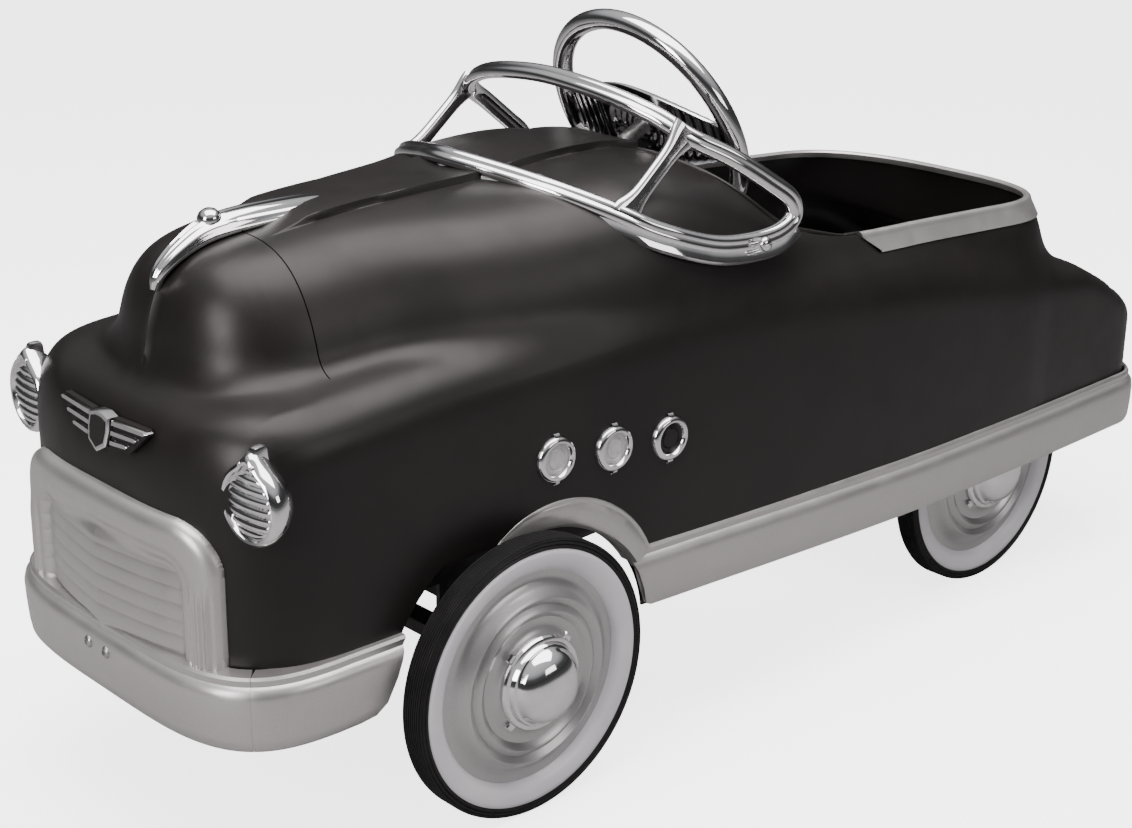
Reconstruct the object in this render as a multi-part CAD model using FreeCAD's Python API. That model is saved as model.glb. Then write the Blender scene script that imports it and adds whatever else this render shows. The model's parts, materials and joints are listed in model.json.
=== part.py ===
import FreeCAD, Part
import math
import os

# Child's pedal car in pressed steel, on a light frame with a cranked rear axle.
# Millimetres.  While it is built, x is measured from the front axle (forward is +X),
# y from the centreline (the car's left is +Y) and z from the floor.  The finished
# pieces are then moved along X so that the origin is the middle of the footprint.

V = FreeCAD.Vector

# ---- driving dimensions -------------------------------------------------------------
tyre_r = 101.0
tyre_w = 20.5
wheelbase = 560.0
front_face_y = 173.5          # outer face of a front wheel
rear_face_y = 133.0           # outer face of a rear wheel
axle_r = 6.0
fit = 0.06                    # radial clearance of a running fit

sheet = 2.0                   # body sheet
body_bottom = 112.0
body_nose = 221.0
body_tail = -768.0
nose_round = 100.0            # length over which the plan closes at the nose
tail_round = 60.0
hood_nose_x = 184.0
hood_base = 225.0
hood_round = 100.0
tub_tail = -662.0
tub_round = 110.0
seam_x = 115.0                # seam between nose cap and hood

arch_x = -30.0
arch_in = 92.5
sweep_r = 104.0               # clearance round a steered front tyre
band_x = -45.0                # centre and radius of the outer edge of the arch band
band_z = 124.0
band_r = 88.0

kingpin_y = 120.0
knuckle_arm = 60.0
steer_tilt = math.radians(26.0)
steer_centre = V(-268, 0, 423)
steer_len = 242.0             # from the wheel's centre to the crank
steer_crank = 30.0
wheel_rim_r = 89.0

pedal_x = -95.0
pedal_z = 262.0
pedal_len = 140.0
pedal_y = 52.0
rod_y = 43.0
crank_throw = 40.0
rail_y = 86.0

rest_front = 233.5          # foremost and rearmost points, for the origin
rest_rear = -776.0
shift = -(rest_front + rest_rear) / 2


# ---- helpers ------------------------------------------------------------------------
def box(x0, x1, y0, y1, z0, z1):
    return Part.makeBox(x1 - x0, y1 - y0, z1 - z0, V(x0, y0, z0))


def rod(a, b, r):
    return Part.makeCylinder(r, (b - a).Length, a, b - a)


def ycyl(x, z, y0, y1, r):
    return rod(V(x, y0, z), V(x, y1, z), r)


def zcyl(x, y, z0, z1, r):
    return rod(V(x, y, z0), V(x, y, z1), r)


def fuse(shapes):
    whole = shapes[0]
    for s in shapes[1:]:
        whole = whole.fuse(s)
    return whole.removeSplitter()


def mirrored(shape):
    return shape.mirror(V(0, 0, 0), V(0, 1, 0))


def both(shape):
    return Part.makeCompound([shape, mirrored(shape)])


def smooth(stations, x):
    """Smooth curve through hand-set stations (x, value), x rising."""
    if x <= stations[0][0]:
        return stations[0][1]
    if x >= stations[-1][0]:
        return stations[-1][1]
    for i in range(len(stations) - 1):
        if x <= stations[i + 1][0]:
            break
    x0, v0 = stations[i]
    x1, v1 = stations[i + 1]

    def slope(k):
        if k == 0 or k == len(stations) - 1:
            return 0.0
        (xa, va), (xb, vb) = stations[k - 1], stations[k + 1]
        return (vb - va) / (xb - xa)
    t = (x - x0) / (x1 - x0)
    m0, m1 = slope(i) * (x1 - x0), slope(i + 1) * (x1 - x0)
    return ((2 * t**3 - 3 * t**2 + 1) * v0 + (t**3 - 2 * t**2 + t) * m0
            + (-2 * t**3 + 3 * t**2) * v1 + (t**3 - t**2) * m1)


def closing(x, start, end, power):
    """Superellipse factor: 1 at start, 0 at end."""
    t = (x - start) / (end - start)
    if t <= 0:
        return 1.0
    return max(1.0 - min(t, 1.0)**power, 0.0)**(1.0 / power)


# ---- body surfaces ------------------------------------------------------------------
half_width = [(-768, 150), (-700, 154), (-550, 160), (-385, 162), (-119, 149), (0, 143.5), (122, 144.5)]
shoulder_z = [(-768, 216), (-735, 226), (-690, 252), (-640, 276), (-540, 296), (-400, 320),
              (-250, 332), (-100, 332), (50, 327), (160, 320), (222, 318)]
hood_w = [(-662, 150), (-552, 153), (-360, 154), (-242, 152), (-137, 146), (-67, 135), (0, 122), (84, 102)]
hood_z = [(-662, 364), (-552, 366), (-450, 372), (-360, 380), (-300, 390), (-242, 408),
          (-190, 418), (-137, 418), (-67, 413), (0, 411), (64, 408), (184, 396)]
hood_n = [(-662, 3.2), (-300, 3.4), (-242, 3.8), (-137, 4.2), (-60, 3.8), (118, 3.2)]
# top edge of the tub, seen from the side
rim_line = [(-720, 324), (-586, 331), (-450, 338), (-358, 342.5), (-330, 347.5), (-300, 357), (-270, 380),
            (-250, 420)]
closes = (0.0, 0.3, 0.55, 0.75, 0.88, 0.95, 0.985)


def lower_half_width(x, grow):
    nose = closing(x, body_nose - nose_round, body_nose + grow, 3.2)
    tail = closing(x, body_tail + tail_round, body_tail - grow, 3.0)
    return (smooth(half_width, x) + grow) * nose * tail


def lower_stations(grow):
    nose0, tail0 = body_nose - nose_round, body_tail + tail_round
    front = [nose0 + t * (body_nose + grow - nose0) for t in closes]
    rear = [tail0 + t * (body_tail - grow - tail0) for t in reversed(closes)]
    middle = [-660, -600, -540, -460, -380, -300, -220, -140, -60, 20, 80]
    return rear + middle + front


def lower_section(x, grow, bottom):
    w = lower_half_width(x, grow)
    kn = closing(x, body_nose - nose_round, body_nose + grow, 5.0)
    kt = closing(x, body_tail + tail_round, body_tail - grow, 5.0)
    top = 170 + (smooth(shoulder_z, x) + grow - 170) * kn * kt
    r = min(38.0 + grow, 0.5 * w, 0.55 * (top - 135))
    c = r * (1 - math.sqrt(0.5))
    pts = [V(x, -w, bottom), V(x, w, bottom), V(x, w, top - r), V(x, w - r, top),
           V(x, -w + r, top), V(x, -w, top - r)]
    edges = [Part.makeLine(pts[0], pts[1]), Part.makeLine(pts[1], pts[2]),
             Part.Arc(pts[2], V(x, w - c, top - c), pts[3]).toShape(),
             Part.makeLine(pts[3], pts[4]),
             Part.Arc(pts[4], V(x, -w + c, top - c), pts[5]).toShape(),
             Part.makeLine(pts[5], pts[0])]
    return Part.Wire(edges)


def lower_solid(grow, bottom=body_bottom):
    wires = [lower_section(x, grow, bottom) for x in lower_stations(grow)]
    return Part.makeLoft(wires, True, False)


def upper_section(x, grow, start, end, tail_start, tail_end):
    ky = closing(x, start, end, 2.6) * closing(x, tail_start, tail_end, 2.6)
    kz = closing(x, start, end, 4.6) * closing(x, tail_start, tail_end, 4.6)
    w = (smooth(hood_w, x) + grow) * ky
    h = (smooth(hood_z, x) + grow - hood_base) * kz
    n = smooth(hood_n, x)
    pts = []
    for i in range(25):
        a = math.pi * i / 24
        c, s = math.cos(a), math.sin(a)
        pts.append(V(x, math.copysign(abs(c)**(2 / n), c) * w, hood_base + s**(2 / n) * h))
    pts[0] = V(x, w, hood_base)
    pts[-1] = V(x, -w, hood_base)
    low = hood_base - 40
    spline = Part.BSplineCurve()
    spline.interpolate(pts)
    return Part.Wire([spline.toShape(), Part.makeLine(pts[-1], V(x, -w, low)),
                      Part.makeLine(V(x, -w, low), V(x, w, low)), Part.makeLine(V(x, w, low), pts[0])])


def upper_solid(grow):
    start, end = hood_nose_x - hood_round, hood_nose_x + grow
    t0, t1 = tub_tail + tub_round, tub_tail - grow
    xs = [t0 + t * (t1 - t0) for t in reversed(closes)]
    xs += [-500, -440, -380, -330, -280, -240, -200, -160, -110, -60, 0, 50]
    xs += [start + t * (end - start) for t in closes]
    wires = [upper_section(x, grow, start, end, t0, t1) for x in xs]
    return Part.makeLoft(wires, True, False)


def prism(points, z0, z1):
    wire = Part.makePolygon([V(x, y, z0) for x, y in points + points[:1]])
    return Part.Face(wire).extrude(V(0, 0, z1 - z0))


def cockpit_opening(inset=0.0):
    side, back, front = 127.0 - inset, -640.0 + inset, -222.0 - inset
    rear = []
    for i in range(13):
        a = math.pi / 2 * (1 - i / 6)
        s = math.sin(a)
        rear.append(V(-575 + (back + 575) * abs(math.cos(a))**0.7,
                      math.copysign(abs(s)**0.7, s) * side, 300))
    curve = Part.BSplineCurve()
    curve.interpolate(rear)
    nose = Part.Arc(V(-300, -side, 300), V(front, 0, 300), V(-300, side, 300))
    wire = Part.Wire([nose.toShape(), Part.makeLine(V(-300, side, 300), rear[0]), curve.toShape(),
                      Part.makeLine(rear[-1], V(-300, -side, 300))])
    return Part.Face(wire).extrude(V(0, 0, 260))


def above_rim(lift):
    """Everything above the sloping top edge of the tub, raised by lift."""
    edge = [V(x, -200, z + lift) for x, z in rim_line]
    curve = Part.BSplineCurve()
    curve.interpolate(edge)
    top = Part.makePolygon([edge[-1], V(edge[-1].x, -200, 480), V(edge[0].x, -200, 480), edge[0]])
    return Part.Face(Part.Wire([curve.toShape()] + top.Edges)).extrude(V(0, 400, 0))


def arch_cut():
    front = ycyl(0, tyre_r, 60, 260, sweep_r).common(box(arch_x, 120, 60, 260, 40, 192))
    cut = ycyl(arch_x, tyre_r, 60, 260, arch_in).fuse(front)
    return [cut, mirrored(cut)]


lower = lower_solid(0)
upper = upper_solid(0)
lower_in = lower_solid(-sheet, body_bottom - 10)
upper_in = upper_solid(-sheet)
opening = cockpit_opening()
skin = lower.fuse(upper).cut(lower_in).cut(upper_in).cut(opening)
skin = skin.cut(above_rim(0))
for cut in arch_cut():
    skin = skin.cut(cut)
grille_hole = box(150, 260, -100, 100, 100, 236)
skin = skin.cut(grille_hole)
nose_zone = box(seam_x, 260, -200, 200, 0, 460).cut(lower)
seam_zone = box(seam_x - 0.8, seam_x, -200, 200, 0, 460).cut(lower)
nose_cap = skin.common(nose_zone)
body = skin.cut(nose_zone).cut(seam_zone)


def biggest(shape):
    return max(shape.Solids, key=lambda s: s.Volume)


nose_cap = biggest(nose_cap)
body = biggest(body)
prow = Part.Wire([Part.makePolygon([V(183, 0, 318), V(188, 0, 318), V(184, 0, 350), V(176, 0, 376),
                                    V(170, 0, 376), V(177, 0, 350), V(183, 0, 318)])])
prow = Part.Face(prow).extrude(V(0, 3, 0))
prow.translate(V(0, -1.5, 0))
prow = prow.cut(upper_in).cut(lower)
nose_cap = biggest(nose_cap.fuse(prow))

ridge_top = upper_solid(4.5).cut(upper).common(box(-236, 95, -33, 33, 350, 460)).cut(opening)
ridge_top = biggest(ridge_top)

# ---- silver trim --------------------------------------------------------------------
def plan_wire(z, grow, nose, power, half):
    """Plan outline at height z.  nose, power and half shape the front."""
    pts = []
    nose0, tail0 = nose - nose_round, body_tail + tail_round
    for i in range(13):
        a = math.pi / 2 * i / 12
        pts.append((nose0 + (nose + grow - nose0) * math.cos(a)**(2 / power),
                    (half + grow) * math.sin(a)**(2 / power)))
    for x in (60, -20, -120, -240, -385, -550, -650):
        pts.append((x, smooth(half_width, x) + grow))
    for i in range(9):
        a = math.pi / 2 * (1 - i / 8)
        pts.append((tail0 + (body_tail - grow - tail0) * math.cos(a)**(2 / 3.0),
                    (smooth(half_width, tail0) + grow) * math.sin(a)**(2 / 3.0)))
    loop = [V(x, y, z) for x, y in pts]
    loop += [V(x, -y, z) for x, y in reversed(pts[1:-1])]
    curve = Part.BSplineCurve()
    curve.interpolate(Points=loop, PeriodicFlag=True)
    return Part.Wire([curve.toShape()])


def flange(levels, nose, power, half, thick=2.0):
    outer = Part.makeLoft([plan_wire(z, g, nose, power, half) for z, g in levels], True, False)
    inner_levels = [(z, g - thick) for z, g in levels]
    inner_levels[0] = (levels[0][0] - 1, inner_levels[0][1])
    inner_levels[-1] = (levels[-1][0] + 1, inner_levels[-1][1])
    inner = Part.makeLoft([plan_wire(z, g, nose, power, half) for z, g in inner_levels], True, False)
    return outer.cut(inner)


rocker_levels = [(112, 5.5), (118, 7.0), (134, 8.0), (148, 7.5), (154, 6.0), (158, 2.0)]
bumper_levels = [(104, 3.0), (112, 6.0), (128, 8.0), (142, 8.0), (150, 6.0), (154, 0.5)]
rocker = flange(rocker_levels, body_nose, 3.2, 145)
rocker = rocker.common(box(-800, arch_x, -260, 260, 90, 170))
for side in (60, -260):
    rocker = rocker.cut(ycyl(arch_x, tyre_r, side, side + 200, arch_in))
rocker = biggest(rocker)
bumper = flange(bumper_levels, body_nose + 4, 4.0, 146)
bumper = biggest(bumper.common(box(86, 260, -260, 260, 90, 170)))
bumper_joint = 201.0
bumper_ends = bumper.common(box(105, bumper_joint, -260, 260, 90, 170))
bumper_mid = bumper.common(box(bumper_joint + 0.4, 260, -260, 260, 90, 170))

arch_skin = lower_solid(6.0).cut(lower)
arch_skin = arch_skin.cut(lower_solid(10.0).cut(lower_solid(0.6)).common(
    both(ycyl(0, tyre_r, 60, 260, sweep_r + 1))))
arch_ring = ycyl(band_x, band_z, 60, 260, band_r).cut(ycyl(arch_x, tyre_r, 60, 260, arch_in))
arch_ring = arch_ring.cut(box(2, 200, 0, 300, 0, 300)).cut(box(-300, 200, 0, 300, 0, 158.2))
arch_ring = arch_ring.cut(box(arch_x, 200, 0, 300, 0, 192.2))
arch_trim = both(biggest(arch_skin.common(arch_ring)))

# rolled rim of the tub: outside 13 mm deep, over the edge and 4 mm down inside
rim_outside = upper_solid(1.6)
rim_inside = upper_solid(-sheet - 1.6)
rim_band = rim_outside.cut(rim_inside).common(above_rim(-13)).cut(above_rim(1.6))
rim_band = rim_band.cut(skin).cut(upper_in.cut(above_rim(-4))).cut(lower)
slant = Part.makeBox(900, 400, 900, V(-900, -200, -450))
slant.rotate(V(0, 0, 0), V(0, 1, 0), 50)
slant.translate(V(-376, 0, 341))
rim_band = biggest(rim_band.common(slant))

field_hw, field_z0, field_z1 = 88.0, 162.0, 226.0
front_outline = [plan_wire(140, g, body_nose, 3.2, 145) for g in (1.5, 4.5, 6.0, 9.0)]
front_prisms = [Part.Face(w).extrude(V(0, 0, 120)) for w in front_outline]


def front_view(half, z0, z1, r):
    pad = box(120, 260, -half, half, z0, z1)
    keep = [e for e in pad.Edges if e.Vertexes[0].Point.y == e.Vertexes[1].Point.y
            and e.Vertexes[0].Point.z == e.Vertexes[1].Point.z and e.Vertexes[0].Point.z > z0 + 1]
    return pad.makeFillet(r, keep)


panel = front_prisms[3].cut(front_prisms[0]).common(front_view(112, 150, 250, 30))
field = front_view(field_hw, field_z0, field_z1, 14)
panel = panel.cut(front_prisms[3].cut(front_prisms[1]).common(field))
ribs = []
for i in range(5):
    z = field_z0 + 8 + i * 12.0
    ribs.append(front_prisms[2].cut(front_prisms[0]).common(box(120, 260, -field_hw + 2, field_hw - 2, z, z + 4)))
grille = fuse([panel] + ribs)
grille = biggest(grille.cut(bumper))

# ---- bright parts -------------------------------------------------------------------
def turned(profile):
    """Solid of revolution about the X axis from (x, r) points."""
    wire = Part.makePolygon([V(x, 0, r) for x, r in profile + profile[:1]])
    return Part.Face(wire).revolve(V(0, 0, 0), V(1, 0, 0), 360)


lamp_turn = 5.0


def headlight(side):
    bowl = turned([(-16, 0), (-16, 12), (-6, 25), (4, 30), (10, 30), (13, 26), (19, 14), (21, 0)])
    fin = box(-4, 12, -5, 5, 24, 38)
    lamp = fuse([bowl, fin.makeFillet(3, [e for e in fin.Edges if e.Length < 11])])
    for k in range(-2, 3):
        lamp = lamp.cut(box(16.5 - abs(k) * 2.2, 30, -24, 24, k * 9 - 1.2, k * 9 + 1.2))
    lamp.rotate(V(0, 0, 0), V(0, 0, 1), side * lamp_turn)
    lamp.translate(V(189, side * 133, 271))
    return lamp.cut(lower)


shield = Part.Face(Part.makePolygon([V(0, -13, 16), V(0, 13, 16), V(0, 14, 0), V(0, 0, -16), V(0, -14, 0),
                                     V(0, -13, 16)])).extrude(V(6, 0, 0))
wing = Part.Face(Part.makePolygon([V(0, 12, 12), V(0, 50, 12), V(0, 50, 4), V(0, 12, -8),
                                   V(0, 12, 12)])).extrude(V(4, 0, 0))
badge = fuse([shield, wing, mirrored(wing)])
badge.rotate(V(0, 0, 0), V(0, 1, 0), -14)
badge.translate(V(213, 0, 281))
badge = biggest(badge.cut(lower_solid(0.2)))


def ornament_section(x, z0, w, h):
    pts = []
    for i in range(17):
        a = math.pi * i / 16
        pts.append(V(x, w * math.cos(a), z0 + h * math.sin(a)))
    curve = Part.BSplineCurve()
    curve.interpolate(pts)
    return Part.Wire([curve.toShape(), Part.makeLine(pts[-1], pts[0])])


ornament_stations = [(173, 374, 3, 6), (160, 386, 9, 8), (140, 395, 11, 13), (118, 400, 12, 13),
                     (80, 404, 14, 10), (45, 406, 16, 7)]
ornament = Part.makeLoft([ornament_section(*s) for s in ornament_stations], True, False)
ornament = biggest(ornament.cut(upper_solid(0.05)).cut(ridge_top))

lower_rail = [V(-66, 0, 424), V(-84, 45, 416), V(-107, 82, 407), V(-131, 113, 397), V(-158, 133, 380),
              V(-190, 143, 368), V(-225, 147, 363), V(-256, 147, 367), V(-273, 145, 379)]
upper_rail = [V(-160, 0, 471), V(-164, 55, 466), V(-175, 95, 455), V(-190, 119, 440), V(-218, 134, 424),
              V(-248, 143, 404), V(-270, 146, 386)]


def tube(points, r):
    full = [V(p.x, -p.y, p.z) for p in reversed(points[1:])] + points
    curve = Part.BSplineCurve()
    curve.interpolate(full)
    path = Part.Wire([curve.toShape()])
    start = curve.tangent(curve.FirstParameter)[0]
    ring = Part.Wire([Part.makeCircle(r, full[0], start)])
    pipe = path.makePipeShell([ring], True, True)
    ends = [Part.makeSphere(r * 1.01, full[0]), Part.makeSphere(r * 1.01, full[-1])]
    return pipe, ends


low_tube, low_ends = tube(lower_rail, 6.0)
top_tube, top_ends = tube(upper_rail, 6.0)
strut = rod(V(-136, 115, 396), V(-187, 117, 444), 4.5)
screen = fuse([low_tube, top_tube, strut, mirrored(strut)] + low_ends + top_ends)
screen = screen.cut(upper_solid(0.05)).cut(ridge_top).cut(lower)
screen = biggest(screen)
screen_screw = rod(V(-232, 146, 364), V(-232, 155, 366), 5.0)
screen_screws = both(screen_screw.cut(screen))

port_x, port_pitch, port_z = -42.0, 51.0, 243.0
rings, discs = [], []
for i in range(3):
    x = port_x - i * port_pitch
    z = port_z - 3.5 * i
    y = lower_half_width(x, 0) + 0.1
    ring = ycyl(x, z, y - 4, y + 3.2, 16.5).cut(ycyl(x, z, y - 5, y + 5, 11.5)).cut(lower)
    disc = ycyl(x, z, y - 4, y + 1.2, 11.4).cut(lower)
    rings += [ring, mirrored(ring)]
    discs += [disc, mirrored(disc)]
port_rings = Part.makeCompound([biggest(s) for s in rings])
port_discs = Part.makeCompound([biggest(s) for s in discs])

bolt = rod(V(225, 11, 138), V(236.5, 11, 138), 4.5)
bumper_bolts = both(biggest(bolt.cut(bumper)))

# ---- wheels -------------------------------------------------------------------------
def spun(profile, x, y, z=tyre_r, side=1):
    """Solid of revolution about a wheel axle: (r, outboard offset) points."""
    wire = Part.makePolygon([V(r, off, 0) for r, off in profile + profile[:1]])
    s = Part.Face(wire).revolve(V(0, 0, 0), V(0, 1, 0), 360)
    s.translate(V(x, y, z))
    return s if side > 0 else mirrored(s)


bore = axle_r + fit
tyre_profile = [(89, -18), (96, -tyre_w), (100, -tyre_w + 2.5), (101, -tyre_w + 6), (101, -5), (99.8, -1.6),
                (97, -0.3), (94.3, -0.3), (93.0, -2.5), (89, -2.5)]
disc_out = [(9, 3.0), (33, 3.0), (37, 0.5), (45, -1.0), (50, 2.2), (55, -1.0), (60, 1.6), (66, -3.0),
            (72, -7.5), (77, -6.5)]
disc_profile = ([(bore, 3.0)] + disc_out + [(80, -1.2), (92.8, -0.6), (92.8, -2.3), (88.8, -2.3), (88.8, -17.5),
                (87, -17.5), (87, -3.4), (80, -3.4), (77, -8.6), (71.5, -9.6), (65, -5.0), (60, -0.8), (55, -3.2),
                (50, 0.0), (45, -3.2), (36, -1.6), (32, 1.0), (10, 1.0), (10, -22), (bore, -22)])
cap_profile = [(33.5, 3.1), (33.5, 7), (30, 8.2), (24.5, 8.6), (23.5, 12), (20, 17.5), (14, 21.2), (7, 23), (0, 23.5),
               (0, 22.2), (7, 21.7), (13.5, 20), (19, 16.6), (22.2, 11.6), (23, 7.4), (29.5, 7), (32.2, 6), (32.2, 3.1)]


def wheel(x, face, side):
    return {"tyre": spun(tyre_profile, x, face, side=side), "disc": spun(disc_profile, x, face, side=side),
            "hubcap": spun(cap_profile, x, face, side=side)}


def nut(x, face, side):
    n = ycyl(x, tyre_r, face + 3.5, face + 8.5, 10.5).cut(ycyl(x, tyre_r, face, face + 12, axle_r))
    return n if side > 0 else mirrored(n)


# ---- frame and front axle -----------------------------------------------------------
rail = box(-682, 60, rail_y - 6, rail_y + 6, 150, 170)
cross = [box(x, x + 18, -(rail_y - 6), rail_y - 6, 150, 169) for x in (-682, -330, 40)]
frame_rails = both(rail)
outrigger = [box(x, x + 20, rail_y + 6, smooth(half_width, x) - 3.2, 158, 161) for x in (-680, -300)]
outriggers = Part.makeCompound([s for o in outrigger for s in (o, mirrored(o))])

beam = fuse([box(-9, 9, -108, 108, 96, 106)]
            + [fuse([box(-7, 7, y - 14 if y > 0 else y, y if y > 0 else y + 14, 96, 106),
                     zcyl(0, y, 90, 112, 10)]) for y in (kingpin_y, -kingpin_y)])
for y in (kingpin_y, -kingpin_y):
    beam = beam.cut(zcyl(0, y, 80, 120, 4.0))
axle_bracket = box(-12, 12, rail_y - 5, rail_y - 1, 106, 150).cut(box(-6, 6, 70, 100, 116, 138))
axle_brackets = both(axle_bracket)
kingpin = zcyl(0, kingpin_y, 84, 118, 4.0).fuse(zcyl(0, kingpin_y, 121.2, 124, 7)).fuse(
    zcyl(0, kingpin_y, 117, 122, 3.5)).removeSplitter()
kingpins = both(kingpin)


def knuckle(side):
    k = fuse([zcyl(0, kingpin_y, 113, 120.5, 10), zcyl(0, kingpin_y, 81, 89, 10), box(-9, 9, 130, 136, 81, 120.5),
              box(-9, 9, kingpin_y, 131, 113, 120.5), box(-9, 9, kingpin_y, 131, 81, 89),
              ycyl(0, tyre_r, 135, front_face_y + 10, axle_r), ycyl(0, tyre_r, 135, 149.5, 10),
              box(-knuckle_arm, 0, kingpin_y - 6, kingpin_y + 6, 82, 88),
              zcyl(-knuckle_arm, kingpin_y, 82, 88, 8), zcyl(-knuckle_arm, kingpin_y, 86, 97, 3.0)])
    k = k.cut(zcyl(0, kingpin_y, 70, 130, 4.0 + fit))
    k = k.cut(box(-12, 12, 100, 129.9, 89, 113))
    return k if side > 0 else mirrored(k)


tie = box(-knuckle_arm - 7, -knuckle_arm + 9, -kingpin_y, kingpin_y, 89, 94)
for y in (kingpin_y, -kingpin_y):
    tie = tie.fuse(zcyl(-knuckle_arm, y, 89, 94, 9))
for y in (kingpin_y, -kingpin_y):
    tie = tie.cut(box(-knuckle_arm - 4, -knuckle_arm + 6, y - 4, y + 4, 80, 100))
post = box(-knuckle_arm + 5, -knuckle_arm + 9, -11, 11, 93, 298).cut(box(-80, -40, -4.2, 4.2, 262, 320))
tie_rod = fuse([tie, post])

# ---- steering -----------------------------------------------------------------------
axis_up = V(-math.cos(steer_tilt), 0, math.sin(steer_tilt))
axis_down = axis_up * -1
arm_dir = V(-math.sin(steer_tilt), 0, -math.cos(steer_tilt))
shaft_end = steer_centre + axis_down * steer_len
crank_end = shaft_end + arm_dir * steer_crank
shaft = rod(steer_centre + axis_up * 4, shaft_end, 6.0)
web = rod(shaft_end + axis_up * 3, shaft_end + axis_down * 3, 9)
web2 = rod(crank_end + axis_up * 3, crank_end + axis_down * 3, 7)
bar = box(-3, 3, -6, 6, -steer_crank, 0)
bar.rotate(V(0, 0, 0), V(0, 1, 0), math.degrees(steer_tilt))
bar.translate(shaft_end)
steering_shaft = fuse([shaft, web, web2, bar, rod(crank_end, crank_end + axis_down * 16, 3.0)])


def to_wheel(s):
    """Local +Z along the steering axis, towards the driver."""
    s.rotate(V(0, 0, 0), V(0, 1, 0), -90 + math.degrees(steer_tilt))
    s.translate(steer_centre)
    return s


rim = Part.makeTorus(wheel_rim_r, 8.0)
plate_outline = [(25, 0), (22, 40), (13, 84), (-15, 84), (-21, 40), (-40, 10), (-40, -10), (-21, -40),
                 (-15, -84), (13, -84), (22, -40), (25, 0)]
plate = Part.Face(Part.makePolygon([V(x, y, -14) for x, y in plate_outline])).extrude(V(0, 0, 6))
boss = Part.makeCylinder(24, 9, V(0, 0, -9))
wheel_hub = plate.fuse(boss).cut(Part.makeTorus(wheel_rim_r, 8.0)).cut(Part.makeCylinder(6.0, 60, V(0, 0, -40)))
wheel_hub = to_wheel(wheel_hub)
wheel_rim = to_wheel(rim)
hub_cap = to_wheel(Part.makeCylinder(20, 4, V(0, 0, 4.2)).fuse(Part.makeCylinder(12, 3, V(0, 0, 8))).removeSplitter())


def shaft_bracket(x, width, depth):
    z = steer_centre.z - (x - steer_centre.x) * math.tan(steer_tilt)
    plate = box(x - 2, x + 2, -width, width, z - depth, 430)
    plate = plate.common(upper_in)
    hole = rod(V(x, 0, z) + axis_up * 30, V(x, 0, z) + axis_down * 30, 6.0 + fit)
    return plate.cut(hole)


dash_bracket = shaft_bracket(-226, 34, 18)
lower_bracket = shaft_bracket(-90, 20, 16)

# ---- pedals and drive ---------------------------------------------------------------
hanger_half = 143.0
hanger = ycyl(pedal_x, pedal_z, -hanger_half, hanger_half, 6.0)
pin_z = pedal_z - pedal_len


def pedal_arm(side):
    y0, y1 = pedal_y - 3, pedal_y + 3
    arm = fuse([ycyl(pedal_x, pedal_z, y0 - 4, y1 + 4, 11), box(pedal_x - 7, pedal_x + 7, y0, y1, pin_z, pedal_z),
                ycyl(pedal_x, pin_z, y0, y1, 9), ycyl(pedal_x, pin_z, rod_y - 4, y0 + 1, 4.0),
                ycyl(pedal_x, pin_z, y1 - 1, y1 + 54, 4.0)])
    arm = arm.cut(ycyl(pedal_x, pedal_z, 0, 100, 6.0 + fit))
    return arm if side > 0 else mirrored(arm)


def pedal_pad(side):
    y0 = pedal_y + 5
    pad = box(pedal_x - 24, pedal_x + 24, y0, y0 + 46, pin_z - 8, pin_z + 8)
    pad = pad.makeFillet(5, [e for e in pad.Edges if abs(e.Length - 46) < 0.1])
    for k in range(-2, 3):
        x = pedal_x + k * 9
        for z in (pin_z + 6.2, pin_z - 9.2):
            pad = pad.cut(box(x - 1.5, x + 1.5, y0 - 1, y0 + 48, z, z + 3))
    pad = pad.cut(ycyl(pedal_x, pin_z, y0 - 2, y0 + 60, 4.0 + fit))
    return pad if side > 0 else mirrored(pad)


def drive_rod(side):
    """Rod from the pedal pin to its crank pin; its rear eye is a clearance slot."""
    rear = V(-wheelbase, rod_y, tyre_r + side * crank_throw)
    front = V(pedal_x, rod_y, pin_z)
    y0, y1 = rod_y - 2, rod_y + 2
    run = rear - front
    blade = box(0, run.Length, y0, y1, -6, 6)
    blade.rotate(V(0, 0, 0), V(0, 1, 0), math.degrees(math.atan2(run.z, -run.x)) + 180)
    blade.translate(V(front.x, 0, front.z))
    eye = fuse([ycyl(rear.x, rear.z + dz, y0, y1, 13) for dz in (-9, 8)]
               + [box(rear.x - 13, rear.x + 13, y0, y1, rear.z - 9, rear.z + 8)])
    r = fuse([blade, eye, ycyl(front.x, front.z, y0, y1, 9)])
    slot = fuse([ycyl(rear.x, rear.z + dz, 0, 90, 6.5) for dz in (-9, 8)]
                + [box(rear.x - 6.5, rear.x + 6.5, 0, 90, rear.z - 9, rear.z + 8)])
    r = r.cut(slot).cut(ycyl(front.x, front.z, 0, 90, 4.0 + fit))
    return r if side > 0 else mirrored(r)


def crank_axle():
    x, z = -wheelbase, tyre_r
    parts = [ycyl(x, z, -35, 35, axle_r)]
    for side in (1, -1):
        y = [side * v for v in (34, 39, 47, 52, rear_face_y + 10)]
        pin = z + side * crank_throw
        lo, hi = min(z, pin), max(z, pin)
        for a, b in ((y[0], y[1]), (y[2], y[3])):
            a, b = min(a, b), max(a, b)
            parts += [box(x - 6, x + 6, a, b, lo, hi), ycyl(x, pin, a, b, 7), ycyl(x, z, a, b, 8)]
        parts.append(ycyl(x, pin, min(y[0], y[3]), max(y[0], y[3]), 4.0))
        parts.append(ycyl(x, z, min(y[2], y[4]), max(y[2], y[4]), axle_r))
    return fuse(parts)


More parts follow.
